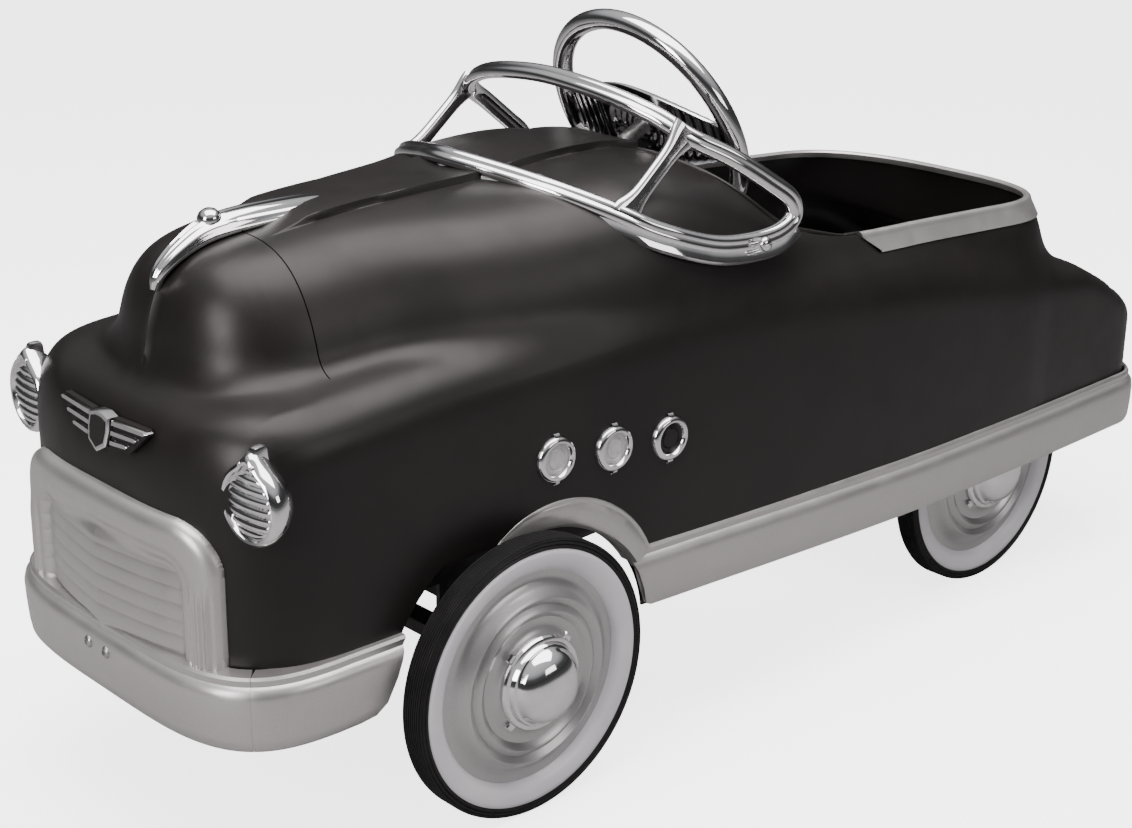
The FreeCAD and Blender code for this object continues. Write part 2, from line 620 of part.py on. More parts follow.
rear_bearing = fuse([box(-wheelbase - 14, -wheelbase + 14, rail_y - 4, rail_y + 4, tyre_r, 150),
                     ycyl(-wheelbase, tyre_r, rail_y - 6, rail_y + 6, 13)])
rear_bearing = rear_bearing.cut(ycyl(-wheelbase, tyre_r, 60, 110, axle_r + fit))
seat = fuse([box(-632, -430, -104, 104, 186, 188.5), box(-432.5, -430, -104, 104, 172, 187),
             box(-632, -629.5, -104, 104, 186, 250)])
seat = seat.common(lower_in.fuse(upper_in))
seat_posts = both(fuse([box(-445, -433, rail_y - 6, rail_y + 6, 170, 186),
                        box(-625, -613, rail_y - 6, rail_y + 6, 170, 186)]))
cross_bars = Part.makeCompound(cross + seat_posts.Solids)
seat_pad = box(-622, -440, -98, 98, 188.5, 206)
seat_pad = seat_pad.makeFillet(8, [e for e in seat_pad.Edges if e.CenterOfMass.z > 200])

# ---- the nodes ----------------------------------------------------------------------
nodes = {
    "body_shell": body, "nose_cap": nose_cap, "hood_ridge": ridge_top,
    "rocker_trim": rocker, "front_bumper": bumper_mid, "bumper_ends": bumper_ends,
    "arch_trim": arch_trim, "cockpit_rim_band": rim_band, "grille_panel": grille,
    "headlight_left": headlight(1), "headlight_right": headlight(-1), "nose_badge": badge,
    "hood_ornament": ornament, "windshield_frame": screen, "windshield_screws": screen_screws,
    "porthole_rings": port_rings, "porthole_discs": port_discs, "bumper_bolts": bumper_bolts,
    "frame_rails": frame_rails, "cross_bars": cross_bars, "body_outriggers": outriggers,
    "front_axle_beam": beam, "axle_brackets": axle_brackets, "kingpins": kingpins,
    "knuckle_left": knuckle(1), "knuckle_right": knuckle(-1), "tie_rod": tie_rod,
    "steering_shaft": steering_shaft, "steering_rim": wheel_rim, "steering_hub": wheel_hub,
    "steering_cap": hub_cap, "dash_bracket": dash_bracket, "shaft_bracket": lower_bracket,
    "pedal_hanger": hanger, "pedal_arm_left": pedal_arm(1), "pedal_arm_right": pedal_arm(-1),
    "pedal_left": pedal_pad(1), "pedal_right": pedal_pad(-1),
    "drive_rod_left": drive_rod(1), "drive_rod_right": drive_rod(-1), "crank_axle": crank_axle(),
    "rear_bearings": both(rear_bearing), "seat_pan": seat, "seat_pad": seat_pad,
}
corners = {"front_left": (0, front_face_y, 1), "front_right": (0, front_face_y, -1),
           "rear_left": (-wheelbase, rear_face_y, 1), "rear_right": (-wheelbase, rear_face_y, -1)}
for corner, (x, face, side) in corners.items():
    for piece, shape in wheel(x, face, side).items():
        nodes[piece + "_" + corner] = shape
    if x:
        continue
    nodes["nut_" + corner] = nut(x, face, side)
nodes["rear_nuts"] = both(nut(-wheelbase, rear_face_y, 1))

os.makedirs("parts", exist_ok=True)
low, high = V(1e9, 1e9, 1e9), V(-1e9, -1e9, -1e9)
for name, shape in nodes.items():
    shape.translate(V(shift, 0, 0))
    solids = shape.Solids
    if not shape.isValid() or not solids:
        print("CHECK", name, shape.isValid(), len(solids))
    b = shape.optimalBoundingBox(False) if len(solids) < 3 else shape.BoundBox
    low = V(min(low.x, b.XMin), min(low.y, b.YMin), min(low.z, b.ZMin))
    high = V(max(high.x, b.XMax), max(high.y, b.YMax), max(high.z, b.ZMax))
    shape.exportStep("parts/" + name + ".step")
print(len(nodes), "nodes, box", low, high)
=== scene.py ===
import json
import math

import bmesh
import bpy
import numpy as np
from mathutils import Matrix, Vector, noise

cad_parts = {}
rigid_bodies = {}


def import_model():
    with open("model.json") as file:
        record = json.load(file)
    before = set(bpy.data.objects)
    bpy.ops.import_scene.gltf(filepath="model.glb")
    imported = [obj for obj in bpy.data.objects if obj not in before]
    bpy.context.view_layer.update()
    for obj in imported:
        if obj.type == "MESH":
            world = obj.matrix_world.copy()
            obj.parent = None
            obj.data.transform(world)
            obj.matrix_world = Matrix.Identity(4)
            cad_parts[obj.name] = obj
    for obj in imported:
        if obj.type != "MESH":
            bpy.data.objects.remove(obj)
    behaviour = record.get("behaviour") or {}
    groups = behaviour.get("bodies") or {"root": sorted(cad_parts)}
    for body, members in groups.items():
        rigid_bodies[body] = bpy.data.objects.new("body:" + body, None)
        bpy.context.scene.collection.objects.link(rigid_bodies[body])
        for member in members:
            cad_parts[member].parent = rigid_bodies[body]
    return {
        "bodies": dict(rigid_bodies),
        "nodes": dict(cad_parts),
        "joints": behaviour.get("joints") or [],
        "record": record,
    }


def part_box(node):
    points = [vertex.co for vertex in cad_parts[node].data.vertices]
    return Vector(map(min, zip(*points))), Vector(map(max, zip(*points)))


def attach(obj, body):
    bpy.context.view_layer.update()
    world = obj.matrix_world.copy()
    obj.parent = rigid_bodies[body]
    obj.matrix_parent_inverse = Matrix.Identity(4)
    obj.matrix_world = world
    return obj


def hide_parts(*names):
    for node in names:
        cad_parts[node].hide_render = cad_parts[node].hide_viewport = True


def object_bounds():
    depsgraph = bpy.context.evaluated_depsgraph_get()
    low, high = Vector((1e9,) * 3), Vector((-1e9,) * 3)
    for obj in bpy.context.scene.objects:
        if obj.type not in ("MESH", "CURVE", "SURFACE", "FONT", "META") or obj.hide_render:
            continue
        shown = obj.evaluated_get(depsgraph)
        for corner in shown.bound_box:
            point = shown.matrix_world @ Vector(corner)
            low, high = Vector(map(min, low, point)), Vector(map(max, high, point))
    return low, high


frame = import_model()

# A child's pressed-steel pedal car.  Metres, +X forward, +Y the car's left, +Z up.
cad_low, cad_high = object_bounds()
nodes = frame["nodes"]
joints = {j["name"]: j for j in frame["joints"]}
CORNERS = ("front_left", "front_right", "rear_left", "rear_right")


# ---- helpers for node materials ------------------------------------------------------
class Shade:
    """A Principled material with small helpers for its nodes."""

    def __init__(self, name, base, metallic=0.0, rough=0.5, coat=0.0, coat_rough=0.1, specular=0.5):
        self.mat = bpy.data.materials.new(name)
        self.mat.use_nodes = True
        self.tree = self.mat.node_tree
        self.bsdf = self.tree.nodes["Principled BSDF"]
        self.set("Base Color", (*base, 1.0))
        self.set("Metallic", metallic)
        self.set("Roughness", rough)
        self.set("Specular IOR Level", specular)
        self.set("Coat Weight", coat)
        self.set("Coat Roughness", coat_rough)
        self.mat.diffuse_color = (*base, 1.0)
        self.where = self.node("ShaderNodeTexCoord").outputs["Object"]

    def set(self, socket, value):
        self.bsdf.inputs[socket].default_value = value

    def node(self, kind, **values):
        n = self.tree.nodes.new(kind)
        for key, value in values.items():
            setattr(n, key, value)
        return n

    def link(self, a, b):
        self.tree.links.new(a, b)

    def noise(self, scale, detail=3.0, rough=0.5, stretch=(1, 1, 1)):
        """Noise of the given number of features per metre, from 0 to 1."""
        place = self.node("ShaderNodeMapping")
        place.inputs["Scale"].default_value = stretch
        self.link(self.where, place.inputs["Vector"])
        n = self.node("ShaderNodeTexNoise")
        n.inputs["Scale"].default_value = scale
        n.inputs["Detail"].default_value = detail
        n.inputs["Roughness"].default_value = rough
        self.link(place.outputs["Vector"], n.inputs["Vector"])
        return n.outputs["Fac"]

    def spread(self, value, low, high, start=0.3, end=0.7):
        """Maps value from start..end to low..high."""
        r = self.node("ShaderNodeMapRange")
        for key, v in (("From Min", start), ("From Max", end), ("To Min", low), ("To Max", high)):
            r.inputs[key].default_value = v
        self.link(value, r.inputs["Value"])
        return r.outputs["Result"]

    def mix(self, factor, a, b):
        """Colour mix of a and b, each a colour or a socket."""
        m = self.node("ShaderNodeMix", data_type="RGBA")
        self.link(factor, m.inputs["Factor"])
        for key, value in (("A", a), ("B", b)):
            socket = [s for s in m.inputs if s.name == key and s.type == "RGBA"][0]
            if isinstance(value, bpy.types.NodeSocket):
                self.link(value, socket)
            else:
                socket.default_value = (*value, 1.0)
        return [s for s in m.outputs if s.type == "RGBA"][0]

    def colour(self, socket):
        self.link(socket, self.bsdf.inputs["Base Color"])

    def roughness(self, socket):
        self.link(socket, self.bsdf.inputs["Roughness"])

    def bump(self, height, distance, strength=1.0):
        b = self.node("ShaderNodeBump")
        b.inputs["Distance"].default_value = distance
        b.inputs["Strength"].default_value = strength
        self.link(height, b.inputs["Height"])
        last = self.bsdf.inputs["Normal"]
        if last.is_linked:
            self.link(last.links[0].from_socket, b.inputs["Normal"])
        self.link(b.outputs["Normal"], last)


def layered(name, base, colours, gloss=None, bumps=(), **more):
    """Material with three layers of noise.

    colours is (scale, detail, dark, light), gloss is (scale, detail, low, high) for the
    roughness, and bumps are (scale, detail, depth, strength).
    """
    s = Shade(name, base, **more)
    scale, detail, dark, light = colours
    s.colour(s.mix(s.spread(s.noise(scale, detail), 0, 1), dark, light))
    if gloss:
        scale, detail, low, high = gloss[:4]
        s.roughness(s.spread(s.noise(scale, detail, *gloss[4:]), low, high))
    for scale, detail, depth, strength, *stretch in bumps:
        s.bump(s.noise(scale, detail, 0.5, *stretch), depth, strength)
    return s.mat


ALONG = (1, 0.1, 1)        # stretches a noise into fine lines


def leathercloth():
    """Black leathercloth with a pressed grain."""
    s = Shade("leathercloth", (0.026, 0.024, 0.024), rough=0.46)
    cells = s.node("ShaderNodeTexVoronoi", feature="DISTANCE_TO_EDGE")
    cells.inputs["Scale"].default_value = 420.0
    s.link(s.where, cells.inputs["Vector"])
    grain = s.spread(cells.outputs["Distance"], 0, 1, 0.0, 0.35)
    s.colour(s.mix(grain, (0.017, 0.016, 0.016), (0.032, 0.030, 0.030)))
    s.roughness(s.spread(s.noise(60.0, 4), 0.4, 0.56))
    s.bump(grain, 0.00035, 0.7)
    return s.mat


MATERIALS = {
    "body_black": layered(           # satin enamel: orange peel, faint dust, slow colour drift
        "satin_black", (0.009, 0.0074, 0.0074), (9.0, 4, (0.0075, 0.0062, 0.0062), (0.012, 0.0098, 0.0098)),
        (40.0, 5, 0.34, 0.43, 0.6), ((900.0, 2, 0.00006, 0.5), (14.0, 2, 0.0006, 0.12)), rough=0.38, specular=0.34),
    "silver_paint": layered(         # silver enamel with fine metal flake
        "silver_enamel", (0.47, 0.455, 0.455), (2600.0, 1, (0.48, 0.465, 0.465), (0.60, 0.585, 0.585)),
        (55.0, 4, 0.31, 0.43), ((2600.0, 1, 0.00003, 0.35), (18.0, 2, 0.0008, 0.12)),
        metallic=0.8, rough=0.36, coat=0.1, coat_rough=0.2),
    "chrome": layered(               # bright plate, a little worn and wavy
        "chrome_plate", (0.80, 0.80, 0.81), (120.0, 3, (0.77, 0.77, 0.78), (0.84, 0.84, 0.845)),
        (70.0, 6, 0.035, 0.11, 0.65), ((60.0, 2, 0.00025, 0.10),), metallic=1.0, rough=0.06),
    "wheel_silver": layered(
        "wheel_silver", (0.46, 0.455, 0.46), (2400.0, 1, (0.42, 0.415, 0.42), (0.53, 0.525, 0.53)),
        (60.0, 4, 0.29, 0.33), ((2400.0, 1, 0.00002, 0.3),), metallic=0.75, rough=0.30, coat=0.15, coat_rough=0.15),
    "tyre": layered(
        "tyre_rubber", (0.006, 0.006, 0.006), (45.0, 5, (0.004, 0.004, 0.004), (0.010, 0.010, 0.0105)),
        (160.0, 4, 0.48, 0.68), ((1400.0, 3, 0.00008, 0.4),), rough=0.55, specular=0.3),
    "frame_black": layered(
        "frame_enamel", (0.020, 0.019, 0.019), (60.0, 5, (0.016, 0.015, 0.015), (0.034, 0.032, 0.031)),
        (90.0, 5, 0.4, 0.62), ((700.0, 3, 0.00012, 0.4),), rough=0.5),
    "steel": layered(
        "plain_steel", (0.50, 0.50, 0.51), (40.0, 4, (0.42, 0.41, 0.41), (0.56, 0.56, 0.57)),
        (300.0, 4, 0.24, 0.46, 0.5, ALONG), ((900.0, 2, 0.00006, 0.4, ALONG),), metallic=1.0, rough=0.34),
    "pedal_rubber": layered(
        "pedal_rubber", (0.022, 0.022, 0.023), (80.0, 5, (0.018, 0.018, 0.018), (0.036, 0.035, 0.034)),
        bumps=((1100.0, 3, 0.00012, 0.5),), rough=0.7),
    "seat_vinyl": leathercloth(),
    "porthole_disc": layered(
        "porthole_pale", (0.62, 0.62, 0.63), (260.0, 4, (0.55, 0.55, 0.56), (0.70, 0.70, 0.71)),
        bumps=((700.0, 3, 0.0001, 0.4),), metallic=0.35, rough=0.42),
}
WHITEWALL = layered(
    "whitewall_enamel", (0.70, 0.70, 0.73), (30.0, 4, (0.66, 0.66, 0.70), (0.74, 0.74, 0.765)),
    (90.0, 4, 0.28, 0.42), ((500.0, 2, 0.00004, 0.3),), rough=0.34, coat=0.25)


def finish_cad_nodes():
    slots = {s["node"]: s["material_slot"] for s in frame["record"]["subparts"]}
    for name, obj in nodes.items():
        obj.data.materials.clear()
        obj.data.materials.append(MATERIALS[slots[name]])
        for polygon in obj.data.polygons:
            polygon.material_index = 0


finish_cad_nodes()

# ---- mesh helpers --------------------------------------------------------------------
# Shapes are worked out in millimetres with x from the front axle, y to the car's left
# and z from the floor, then put into the frame by metres().
AXLE_X = joints["spin_front_left"]["pos_m"][0]
MM = 0.001


def metres(points):
    p = np.asarray(points, float).reshape(-1, 3) * MM
    p[:, 0] += AXLE_X
    return p


def put(name, data):
    """New object holding data, in the scene."""
    obj = bpy.data.objects.new(name, data)
    bpy.context.scene.collection.objects.link(obj)
    return obj


def quads(rows, cols, closed_rows=False, closed_cols=False):
    """Quads of a grid of rows x cols points, numbered row by row."""
    faces = []
    for i in range(rows if closed_rows else rows - 1):
        for j in range(cols if closed_cols else cols - 1):
            a, b = i * cols + j, i * cols + (j + 1) % cols
            k = ((i + 1) % rows) * cols
            faces.append((a, b, k + (j + 1) % cols, k + j))
    return faces


def raw_mesh(name, points, faces, weld=0.02):
    mesh = bpy.data.meshes.new(name)
    mesh.from_pydata([tuple(p) for p in metres(points)], [], faces)
    bm = bmesh.new()
    bm.from_mesh(mesh)
    bmesh.ops.remove_doubles(bm, verts=bm.verts, dist=weld * MM)
    bmesh.ops.recalc_face_normals(bm, faces=bm.faces)
    bm.to_mesh(mesh)
    bm.free()
    return mesh


def add_piece(name, mesh, material, body, stands_for=(), sharp=35):
    """Puts a mesh in the scene, riding on a CAD body, with the finish of a slot."""
    obj = put(name, mesh)
    mesh.materials.clear()
    mesh.materials.append(FINISHES[material])
    mesh.polygons.foreach_set("use_smooth", [True] * len(mesh.polygons))
    mesh.set_sharp_from_angle(angle=math.radians(sharp))
    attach(obj, body)
    if stands_for:
        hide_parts(*stands_for)
    return obj


def joined(meshes, name):
    bm = bmesh.new()
    for m in meshes:
        bm.from_mesh(m)
    mesh = bpy.data.meshes.new(name)
    bm.to_mesh(mesh)
    bm.free()
    return mesh


def cut_away(mesh, cutters):
    """Boolean difference of mesh and cutter meshes, all in metres."""
    obj = put("work", mesh)
    tools = []
    for c in cutters:
        tool = put("tool", c)
        mod = obj.modifiers.new("cut", "BOOLEAN")
        mod.operation, mod.solver, mod.object = "DIFFERENCE", "EXACT", tool
        tools.append(tool)
    view = bpy.context.evaluated_depsgraph_get()
    view.update()
    result = bpy.data.meshes.new_from_object(obj.evaluated_get(view))
    for o in [obj] + tools:
        bpy.data.objects.remove(o)
    return result


def slab(name, front, back, rows, cols):
    """Closed solid between two grids of rows x cols points."""
    count = rows * cols
    faces = quads(rows, cols)
    faces += [tuple(count + k for k in reversed(f)) for f in faces]
    rim = [i * cols for i in range(rows)] + [(rows - 1) * cols + j for j in range(1, cols)]
    rim += [i * cols + cols - 1 for i in range(rows - 2, -1, -1)] + list(range(cols - 2, 0, -1))
    faces += [(a, b, count + b, count + a) for a, b in zip(rim, rim[1:] + rim[:1])]
    return raw_mesh(name, front + back, faces), rim


def capped(name, points, m):
    """Closed rings of m points one after another, with flat ends."""
    n = len(points)
    return raw_mesh(name, points, quads(n // m, m, False, True) + [tuple(range(m)), tuple(range(n - m, n))])


def prism_mesh(outline, low, high, axis):
    """Solid between low and high along axis (0, 1 or 2) of a flat outline."""
    n = len(outline)
    points = []
    for level in (low, high):
        for a, b in outline:
            p = [a, b]
            p.insert(axis, level)
            points.append(tuple(p))
    faces = [tuple(range(n)), tuple(range(n, 2 * n))]
    faces += [(i, (i + 1) % n, n + (i + 1) % n, n + i) for i in range(n)]
    return raw_mesh("prism", points, faces)


def block_mesh(xs, ys, zs):
    (a, b), (low, high) = xs, zs
    return prism_mesh([(a, low), (b, low), (b, high), (a, high)], *ys, 1)


def lathe(name, profile, centre, axis, turns=128):
    """Closed profile of (radius, offset) turned about an axis through centre."""
    axis = Vector(axis).normalized()
    u = axis.orthogonal().normalized()
    v = axis.cross(u)
    points = []
    for k in range(turns):
        a = 2 * math.pi * k / turns
        out = u * math.cos(a) + v * math.sin(a)
        points += [tuple(Vector(centre) + out * r + axis * off) for r, off in profile]
    return raw_mesh(name, points, quads(turns, len(profile), True, True))


def through(points, per=8, closed=False):
    """Smooth curve through points (Catmull-Rom), per steps between two of them."""
    p = [Vector(q) for q in points]
    n = len(p)
    spans = n if closed else n - 1
    out = []
    for i in range(spans):
        if closed:
            a, b, c, d = (p[(i + k) % n] for k in (-1, 0, 1, 2))
        else:
            b, c = p[i], p[i + 1]
            a = p[i - 1] if i else b * 2 - c
            d = p[i + 2] if i + 2 < n else c * 2 - b
        for s in range(per):
            t = s / per
            out.append(0.5 * (2 * b + (c - a) * t + (2 * a - 5 * b + 4 * c - d) * t * t
                              + (3 * b - a - 3 * c + d) * t**3))
    if not closed:
        out.append(p[-1])
    return out


def outward(path, k, middle):
    """Level unit normal of a path at its point k, on the side away from x = middle, y = 0."""
    before, after = path[max(k - 1, 0)], path[min(k + 1, len(path) - 1)]
    out = Vector((after[1] - before[1], before[0] - after[0], 0)).normalized()
    return out if out.dot(Vector((path[k][0] - middle, path[k][1], 0))) >= 0 else -out


def sweep(name, path, normals, section, closed=False, ends=3.0):
    """Closed section of (across, out) points carried along a path.  Ends are rounded."""
    n = len(path)
    points = []
    run = [0.0]
    for i in range(1, n):
        run.append(run[-1] + (path[i] - path[i - 1]).length)
    for i, p in enumerate(path):
        before = path[i - 1] if (i or closed) else p
        after = path[(i + 1) % n] if (i + 1 < n or closed) else p
        t = (after - before).normalized()
        out = Vector(normals[i])
        out = (out - t * out.dot(t)).normalized()
        across = t.cross(out)
        size = 1.0
        if not closed:
            near = min(run[i], run[-1] - run[i])
            size = math.sqrt(max(1 - max(1 - near / ends, 0.0)**2, 0.0)) if near < ends else 1.0
        points += [tuple(p + (across * a + out * b) * size) for a, b in section]
    return raw_mesh(name, points, quads(n, len(section), closed, True))


def oval(width, height, steps=24, power=2.0, dent=0.0, dent_at=90.0, dent_width=18.0):
    """Rounded section; dent is the depth of a groove at the angle dent_at."""
    out = []
    for k in range(steps):
        a = 360.0 * k / steps
        c, s = math.cos(math.radians(a)), math.sin(math.radians(a))
        gap = min(abs(a - dent_at), 360 - abs(a - dent_at)) / dent_width
        r = 1 - dent * math.exp(-gap * gap)
        out.append((math.copysign(abs(c)**(2 / power), c) * width * r,
                    math.copysign(abs(s)**(2 / power), s) * height * r))
    return out


# ---- body surface --------------------------------------------------------------------
HALF_WIDTH = [(-768, 150), (-700, 154), (-550, 160), (-385, 162), (-119, 149), (0, 143.5), (122, 144.5)]
SHOULDER_Z = [(-768, 216), (-735, 226), (-690, 252), (-640, 276), (-540, 296), (-400, 320),
              (-250, 332), (-100, 332), (50, 327), (160, 320), (222, 318)]
HOOD_W = [(-662, 150), (-552, 153), (-360, 154), (-242, 152), (-137, 146), (-67, 135), (0, 122), (84, 102)]
HOOD_Z = [(-662, 358), (-552, 364), (-450, 372), (-360, 380), (-300, 390), (-242, 408),
          (-190, 418), (-137, 418), (-67, 413), (0, 411), (64, 408), (184, 396)]
HOOD_N = [(-662, 3.2), (-300, 3.4), (-242, 3.8), (-137, 4.2), (-60, 3.8), (118, 3.2)]
RIM_Z = [(-720, 324), (-586, 331), (-450, 338), (-358, 342.5), (-330, 347.5), (-300, 357), (-270, 380),
         (-250, 420)]
BODY_MIDDLE, TUB_MIDDLE = -270.0, -450.0
NOSE, NOSE_ROUND = 221.0, 100.0
TAIL, TAIL_ROUND = -768.0, 60.0
HOOD_NOSE, HOOD_ROUND, HOOD_BASE = 184.0, 100.0, 225.0
TUB_TAIL, TUB_ROUND = -662.0, 110.0
SKIN_BOTTOM, RAY_Z = 112.0, 150.0
SHEET = 1.6
BLEND = 16.0
SEAM_X, SEAM_WIDTH = 115.0, 0.9
BAND_HALF, BAND_HIGH = 33.0, 5.2
ARCH_X, ARCH_Z, ARCH_IN = -30.0, 101.0, 92.5      # wheel opening: its rear circle
SWEEP_R, ARCH_TOP = 106.5, 192.0                  # its front circle, about the axle, and its flat top
BADGE_Z, BADGE_SLOPE = 285.5, 0.17


def smooth(stations, x):
    """Smooth curve through (x, value) stations, x rising."""
    if x <= stations[0][0]:
        return stations[0][1]
    if x >= stations[-1][0]:
        return stations[-1][1]
    i = max(k for k in range(len(stations) - 1) if stations[k][0] <= x)

    def slope(k):
        if k == 0 or k == len(stations) - 1:
            return 0.0
        (xa, va), (xb, vb) = stations[k - 1], stations[k + 1]
        return (vb - va) / (xb - xa)
    (x0, v0), (x1, v1) = stations[i], stations[i + 1]
    t = (x - x0) / (x1 - x0)
    m0, m1 = slope(i) * (x1 - x0), slope(i + 1) * (x1 - x0)
    return ((2 * t**3 - 3 * t**2 + 1) * v0 + (t**3 - 2 * t**2 + t) * m0
            + (-2 * t**3 + 3 * t**2) * v1 + (t**3 - t**2) * m1)


def closing(x, start, end, power):
    """Superellipse factor: 1 at start, 0 at end."""
    t = min(max((x - start) / (end - start), 0.0), 1.0)
    return (1.0 - t**power)**(1.0 / power)


def ease(t):
    t = np.clip(t, 0.0, 1.0)
    return t * t * (3 - 2 * t)


class Section:
    """The body's outline across the car at one x, as a distance field."""

    def __init__(self, x):
        front, rear = (x, NOSE - NOSE_ROUND, NOSE), (x, TAIL + TAIL_ROUND, TAIL)
        self.w = smooth(HALF_WIDTH, x) * closing(*front, 3.2) * closing(*rear, 3.0)
        drop = closing(*front, 5.0) * closing(*rear, 5.0)
        self.top = 170 + (smooth(SHOULDER_Z, x) - 170) * drop
        tight = float(ease((-560 - x) / 130))
        self.r = max(min(38.0 - 18 * tight, 0.5 * self.w, 0.55 * (self.top - 135)), 0.01)
        self.blend = BLEND - 9 * tight
        hood, tub = (x, HOOD_NOSE - HOOD_ROUND, HOOD_NOSE), (x, TUB_TAIL + TUB_ROUND, TUB_TAIL)
        self.hw = smooth(HOOD_W, x) * closing(*hood, 2.6) * closing(*tub, 2.6)
        rise = closing(*hood, 4.6) * closing(*tub, 4.6)
        self.hh = (smooth(HOOD_Z, x) - HOOD_BASE) * rise
        self.n = smooth(HOOD_N, x)

    def distance(self, y, z):
        qx, qz = np.abs(y) - (self.w - self.r), z - (self.top - self.r)
        lower = np.hypot(np.maximum(qx, 0), np.maximum(qz, 0)) + np.minimum(np.maximum(qx, qz), 0) - self.r
        if self.hw < 0.5 or self.hh < 0.5:
            return lower
        up = np.maximum(z - HOOD_BASE, 0) / self.hh
        p = ((np.abs(y) / self.hw)**self.n + up**self.n)**(1 / self.n)
        upper = (p - 1) * min(self.hw, self.hh)
        h = np.maximum(self.blend - np.abs(lower - upper), 0) / self.blend
        return np.minimum(lower, upper) - h * h * self.blend / 4


def solve(inside, outside, distance):
    """Points between inside and outside where the distance is nought."""
    lo, hi = np.zeros(len(inside)), np.ones(len(inside))
    for _ in range(32):
        mid = (lo + hi) / 2
        p = inside + (outside - inside) * mid[:, None]
        out = distance(p) > 0
        hi = np.where(out, mid, hi)
        lo = np.where(out, lo, mid)
    return inside + (outside - inside) * lo[:, None]


def edge_between(lo, hi, distance):
    """Where the distance turns positive between lo and hi."""
    for _ in range(32):
        mid = (lo + hi) / 2
        lo, hi = (lo, mid) if distance(mid) > 0 else (mid, hi)
    return lo


def surface_height(x, y):
    """Height of the body's outer skin over a point of the plan."""
    return edge_between(200.0, 440.0, lambda z: Section(x).distance(np.array([y]), np.array([z]))[0])


def side_y(x, z):
    """Half width of the body's outer skin at a height."""
    return edge_between(0.0, 200.0, lambda y: Section(x).distance(np.array([y]), np.array([z]))[0])


def body_stations():
    xs = list(np.arange(-700, 90, 7.0))
    for start, length, power in ((NOSE - NOSE_ROUND, NOSE_ROUND, 3.2), (HOOD_NOSE - HOOD_ROUND, HOOD_ROUND, 3.6),
                                 (TAIL + TAIL_ROUND, -TAIL_ROUND, 3.0), (TUB_TAIL + TUB_ROUND, -TUB_ROUND, 3.4)):
        for k in range(1, 31):
            s = math.sin(math.pi / 2 * k / 30)
            xs.append(start + length * s**(2 / power))
    xs = sorted(xs)
    kept = [xs[0] + 0.02]
    for x in xs[1:]:
        if x - kept[-1] > 0.35 or (x > NOSE - 0.5 and x - kept[-1] > 0.01):
            kept.append(x)
    kept[-1] = NOSE - 0.02
    return kept


def body_columns():
    """Start heights and angles of the rays that sample half of a section."""
    rows = [(z, 0.0) for z in np.linspace(SKIN_BOTTOM, RAY_Z - 7, 6)]
    angles = list(np.arange(0, 48, 1.7)) + list(np.arange(48, 68, 0.8)) + list(np.arange(68, 81, 1.3))
    angles += list(np.arange(81.2, 84.6, 0.12)) + list(np.linspace(84.8, 90, 6))
    return rows + [(RAY_Z, a) for a in angles]


def body_skin_points():
    columns = body_columns()
    z0 = np.array([c[0] for c in columns])
    a = np.radians([c[1] for c in columns])
    grid = []
    xs = body_stations()
    for x in xs:
        s = Section(x)
        inside = np.stack([np.zeros_like(a), z0], 1)
        outside = inside + 400 * np.stack([np.cos(a), np.sin(a)], 1)
        p = solve(inside, outside, lambda q: s.distance(q[:, 0], q[:, 1]))
        p[-1, 0] = 0.0
        grid.append(np.stack([np.full(len(a), x), p[:, 0], p[:, 1]], 1))
    grid = np.array(grid)
    return np.concatenate([grid * (1, -1, 1), grid[:, ::-1][:, 1:]], 1)


def relax(grid, weight, rounds):
    """Evens the grid out where weight is above nought."""
    for _ in range(rounds):
        mean = grid.copy()
        mean[1:-1, 1:-1] = (grid[:-2, 1:-1] + grid[2:, 1:-1] + grid[1:-1, :-2] + grid[1:-1, 2:]) / 4
        grid = grid + (mean - grid) * weight[..., None] * 0.8
    return grid


def grid_normals(grid):
    du, dv = np.gradient(grid, axis=0), np.gradient(grid, axis=1)
    n = np.cross(dv, du)
    n /= np.maximum(np.linalg.norm(n, axis=2, keepdims=True), 1e-9)
    centre = grid - np.array([0, 0, RAY_Z])
    centre[..., 0] = 0
    flip = np.sign(np.mean(np.sum(n * centre, 2)))
    return n * flip


def cockpit_outline():
    side, back, front = 127.0, -640.0, -222.0
    half = []
    for k in range(13):
        a = math.radians(90 * k / 12)
        half.append((-300 + (front + 300) * math.cos(a)**0.8, side * math.sin(a)**0.9))
    for k in range(17):
        a = math.radians(90 * (1 - k / 16))
        half.append((-575 + (back + 575) * math.cos(a)**0.7, side * math.sin(a)**0.7))
    return half + [(x, -y) for x, y in reversed(half[1:-1])]


def circle(x, z, r, start, end, step):
    """Points of an arc in side view, angles in degrees from forward."""
    angles = [math.radians(a) for a in np.arange(start, end, step)]
    return [(x + r * math.cos(a), z + r * math.sin(a)) for a in angles]


def arch_outline():
    """Side view of the wheel opening: a rear circle and a wider front one under a flat top."""
    rear = circle(ARCH_X, ARCH_Z, ARCH_IN, 184, 79.5, -3)
    turn = math.degrees(math.asin((ARCH_TOP - ARCH_Z) / SWEEP_R))
    front = circle(0, ARCH_Z, SWEEP_R, turn, -22, -3)
    return [(rear[0][0], 60)] + rear + front + [(front[-1][0], 60)]


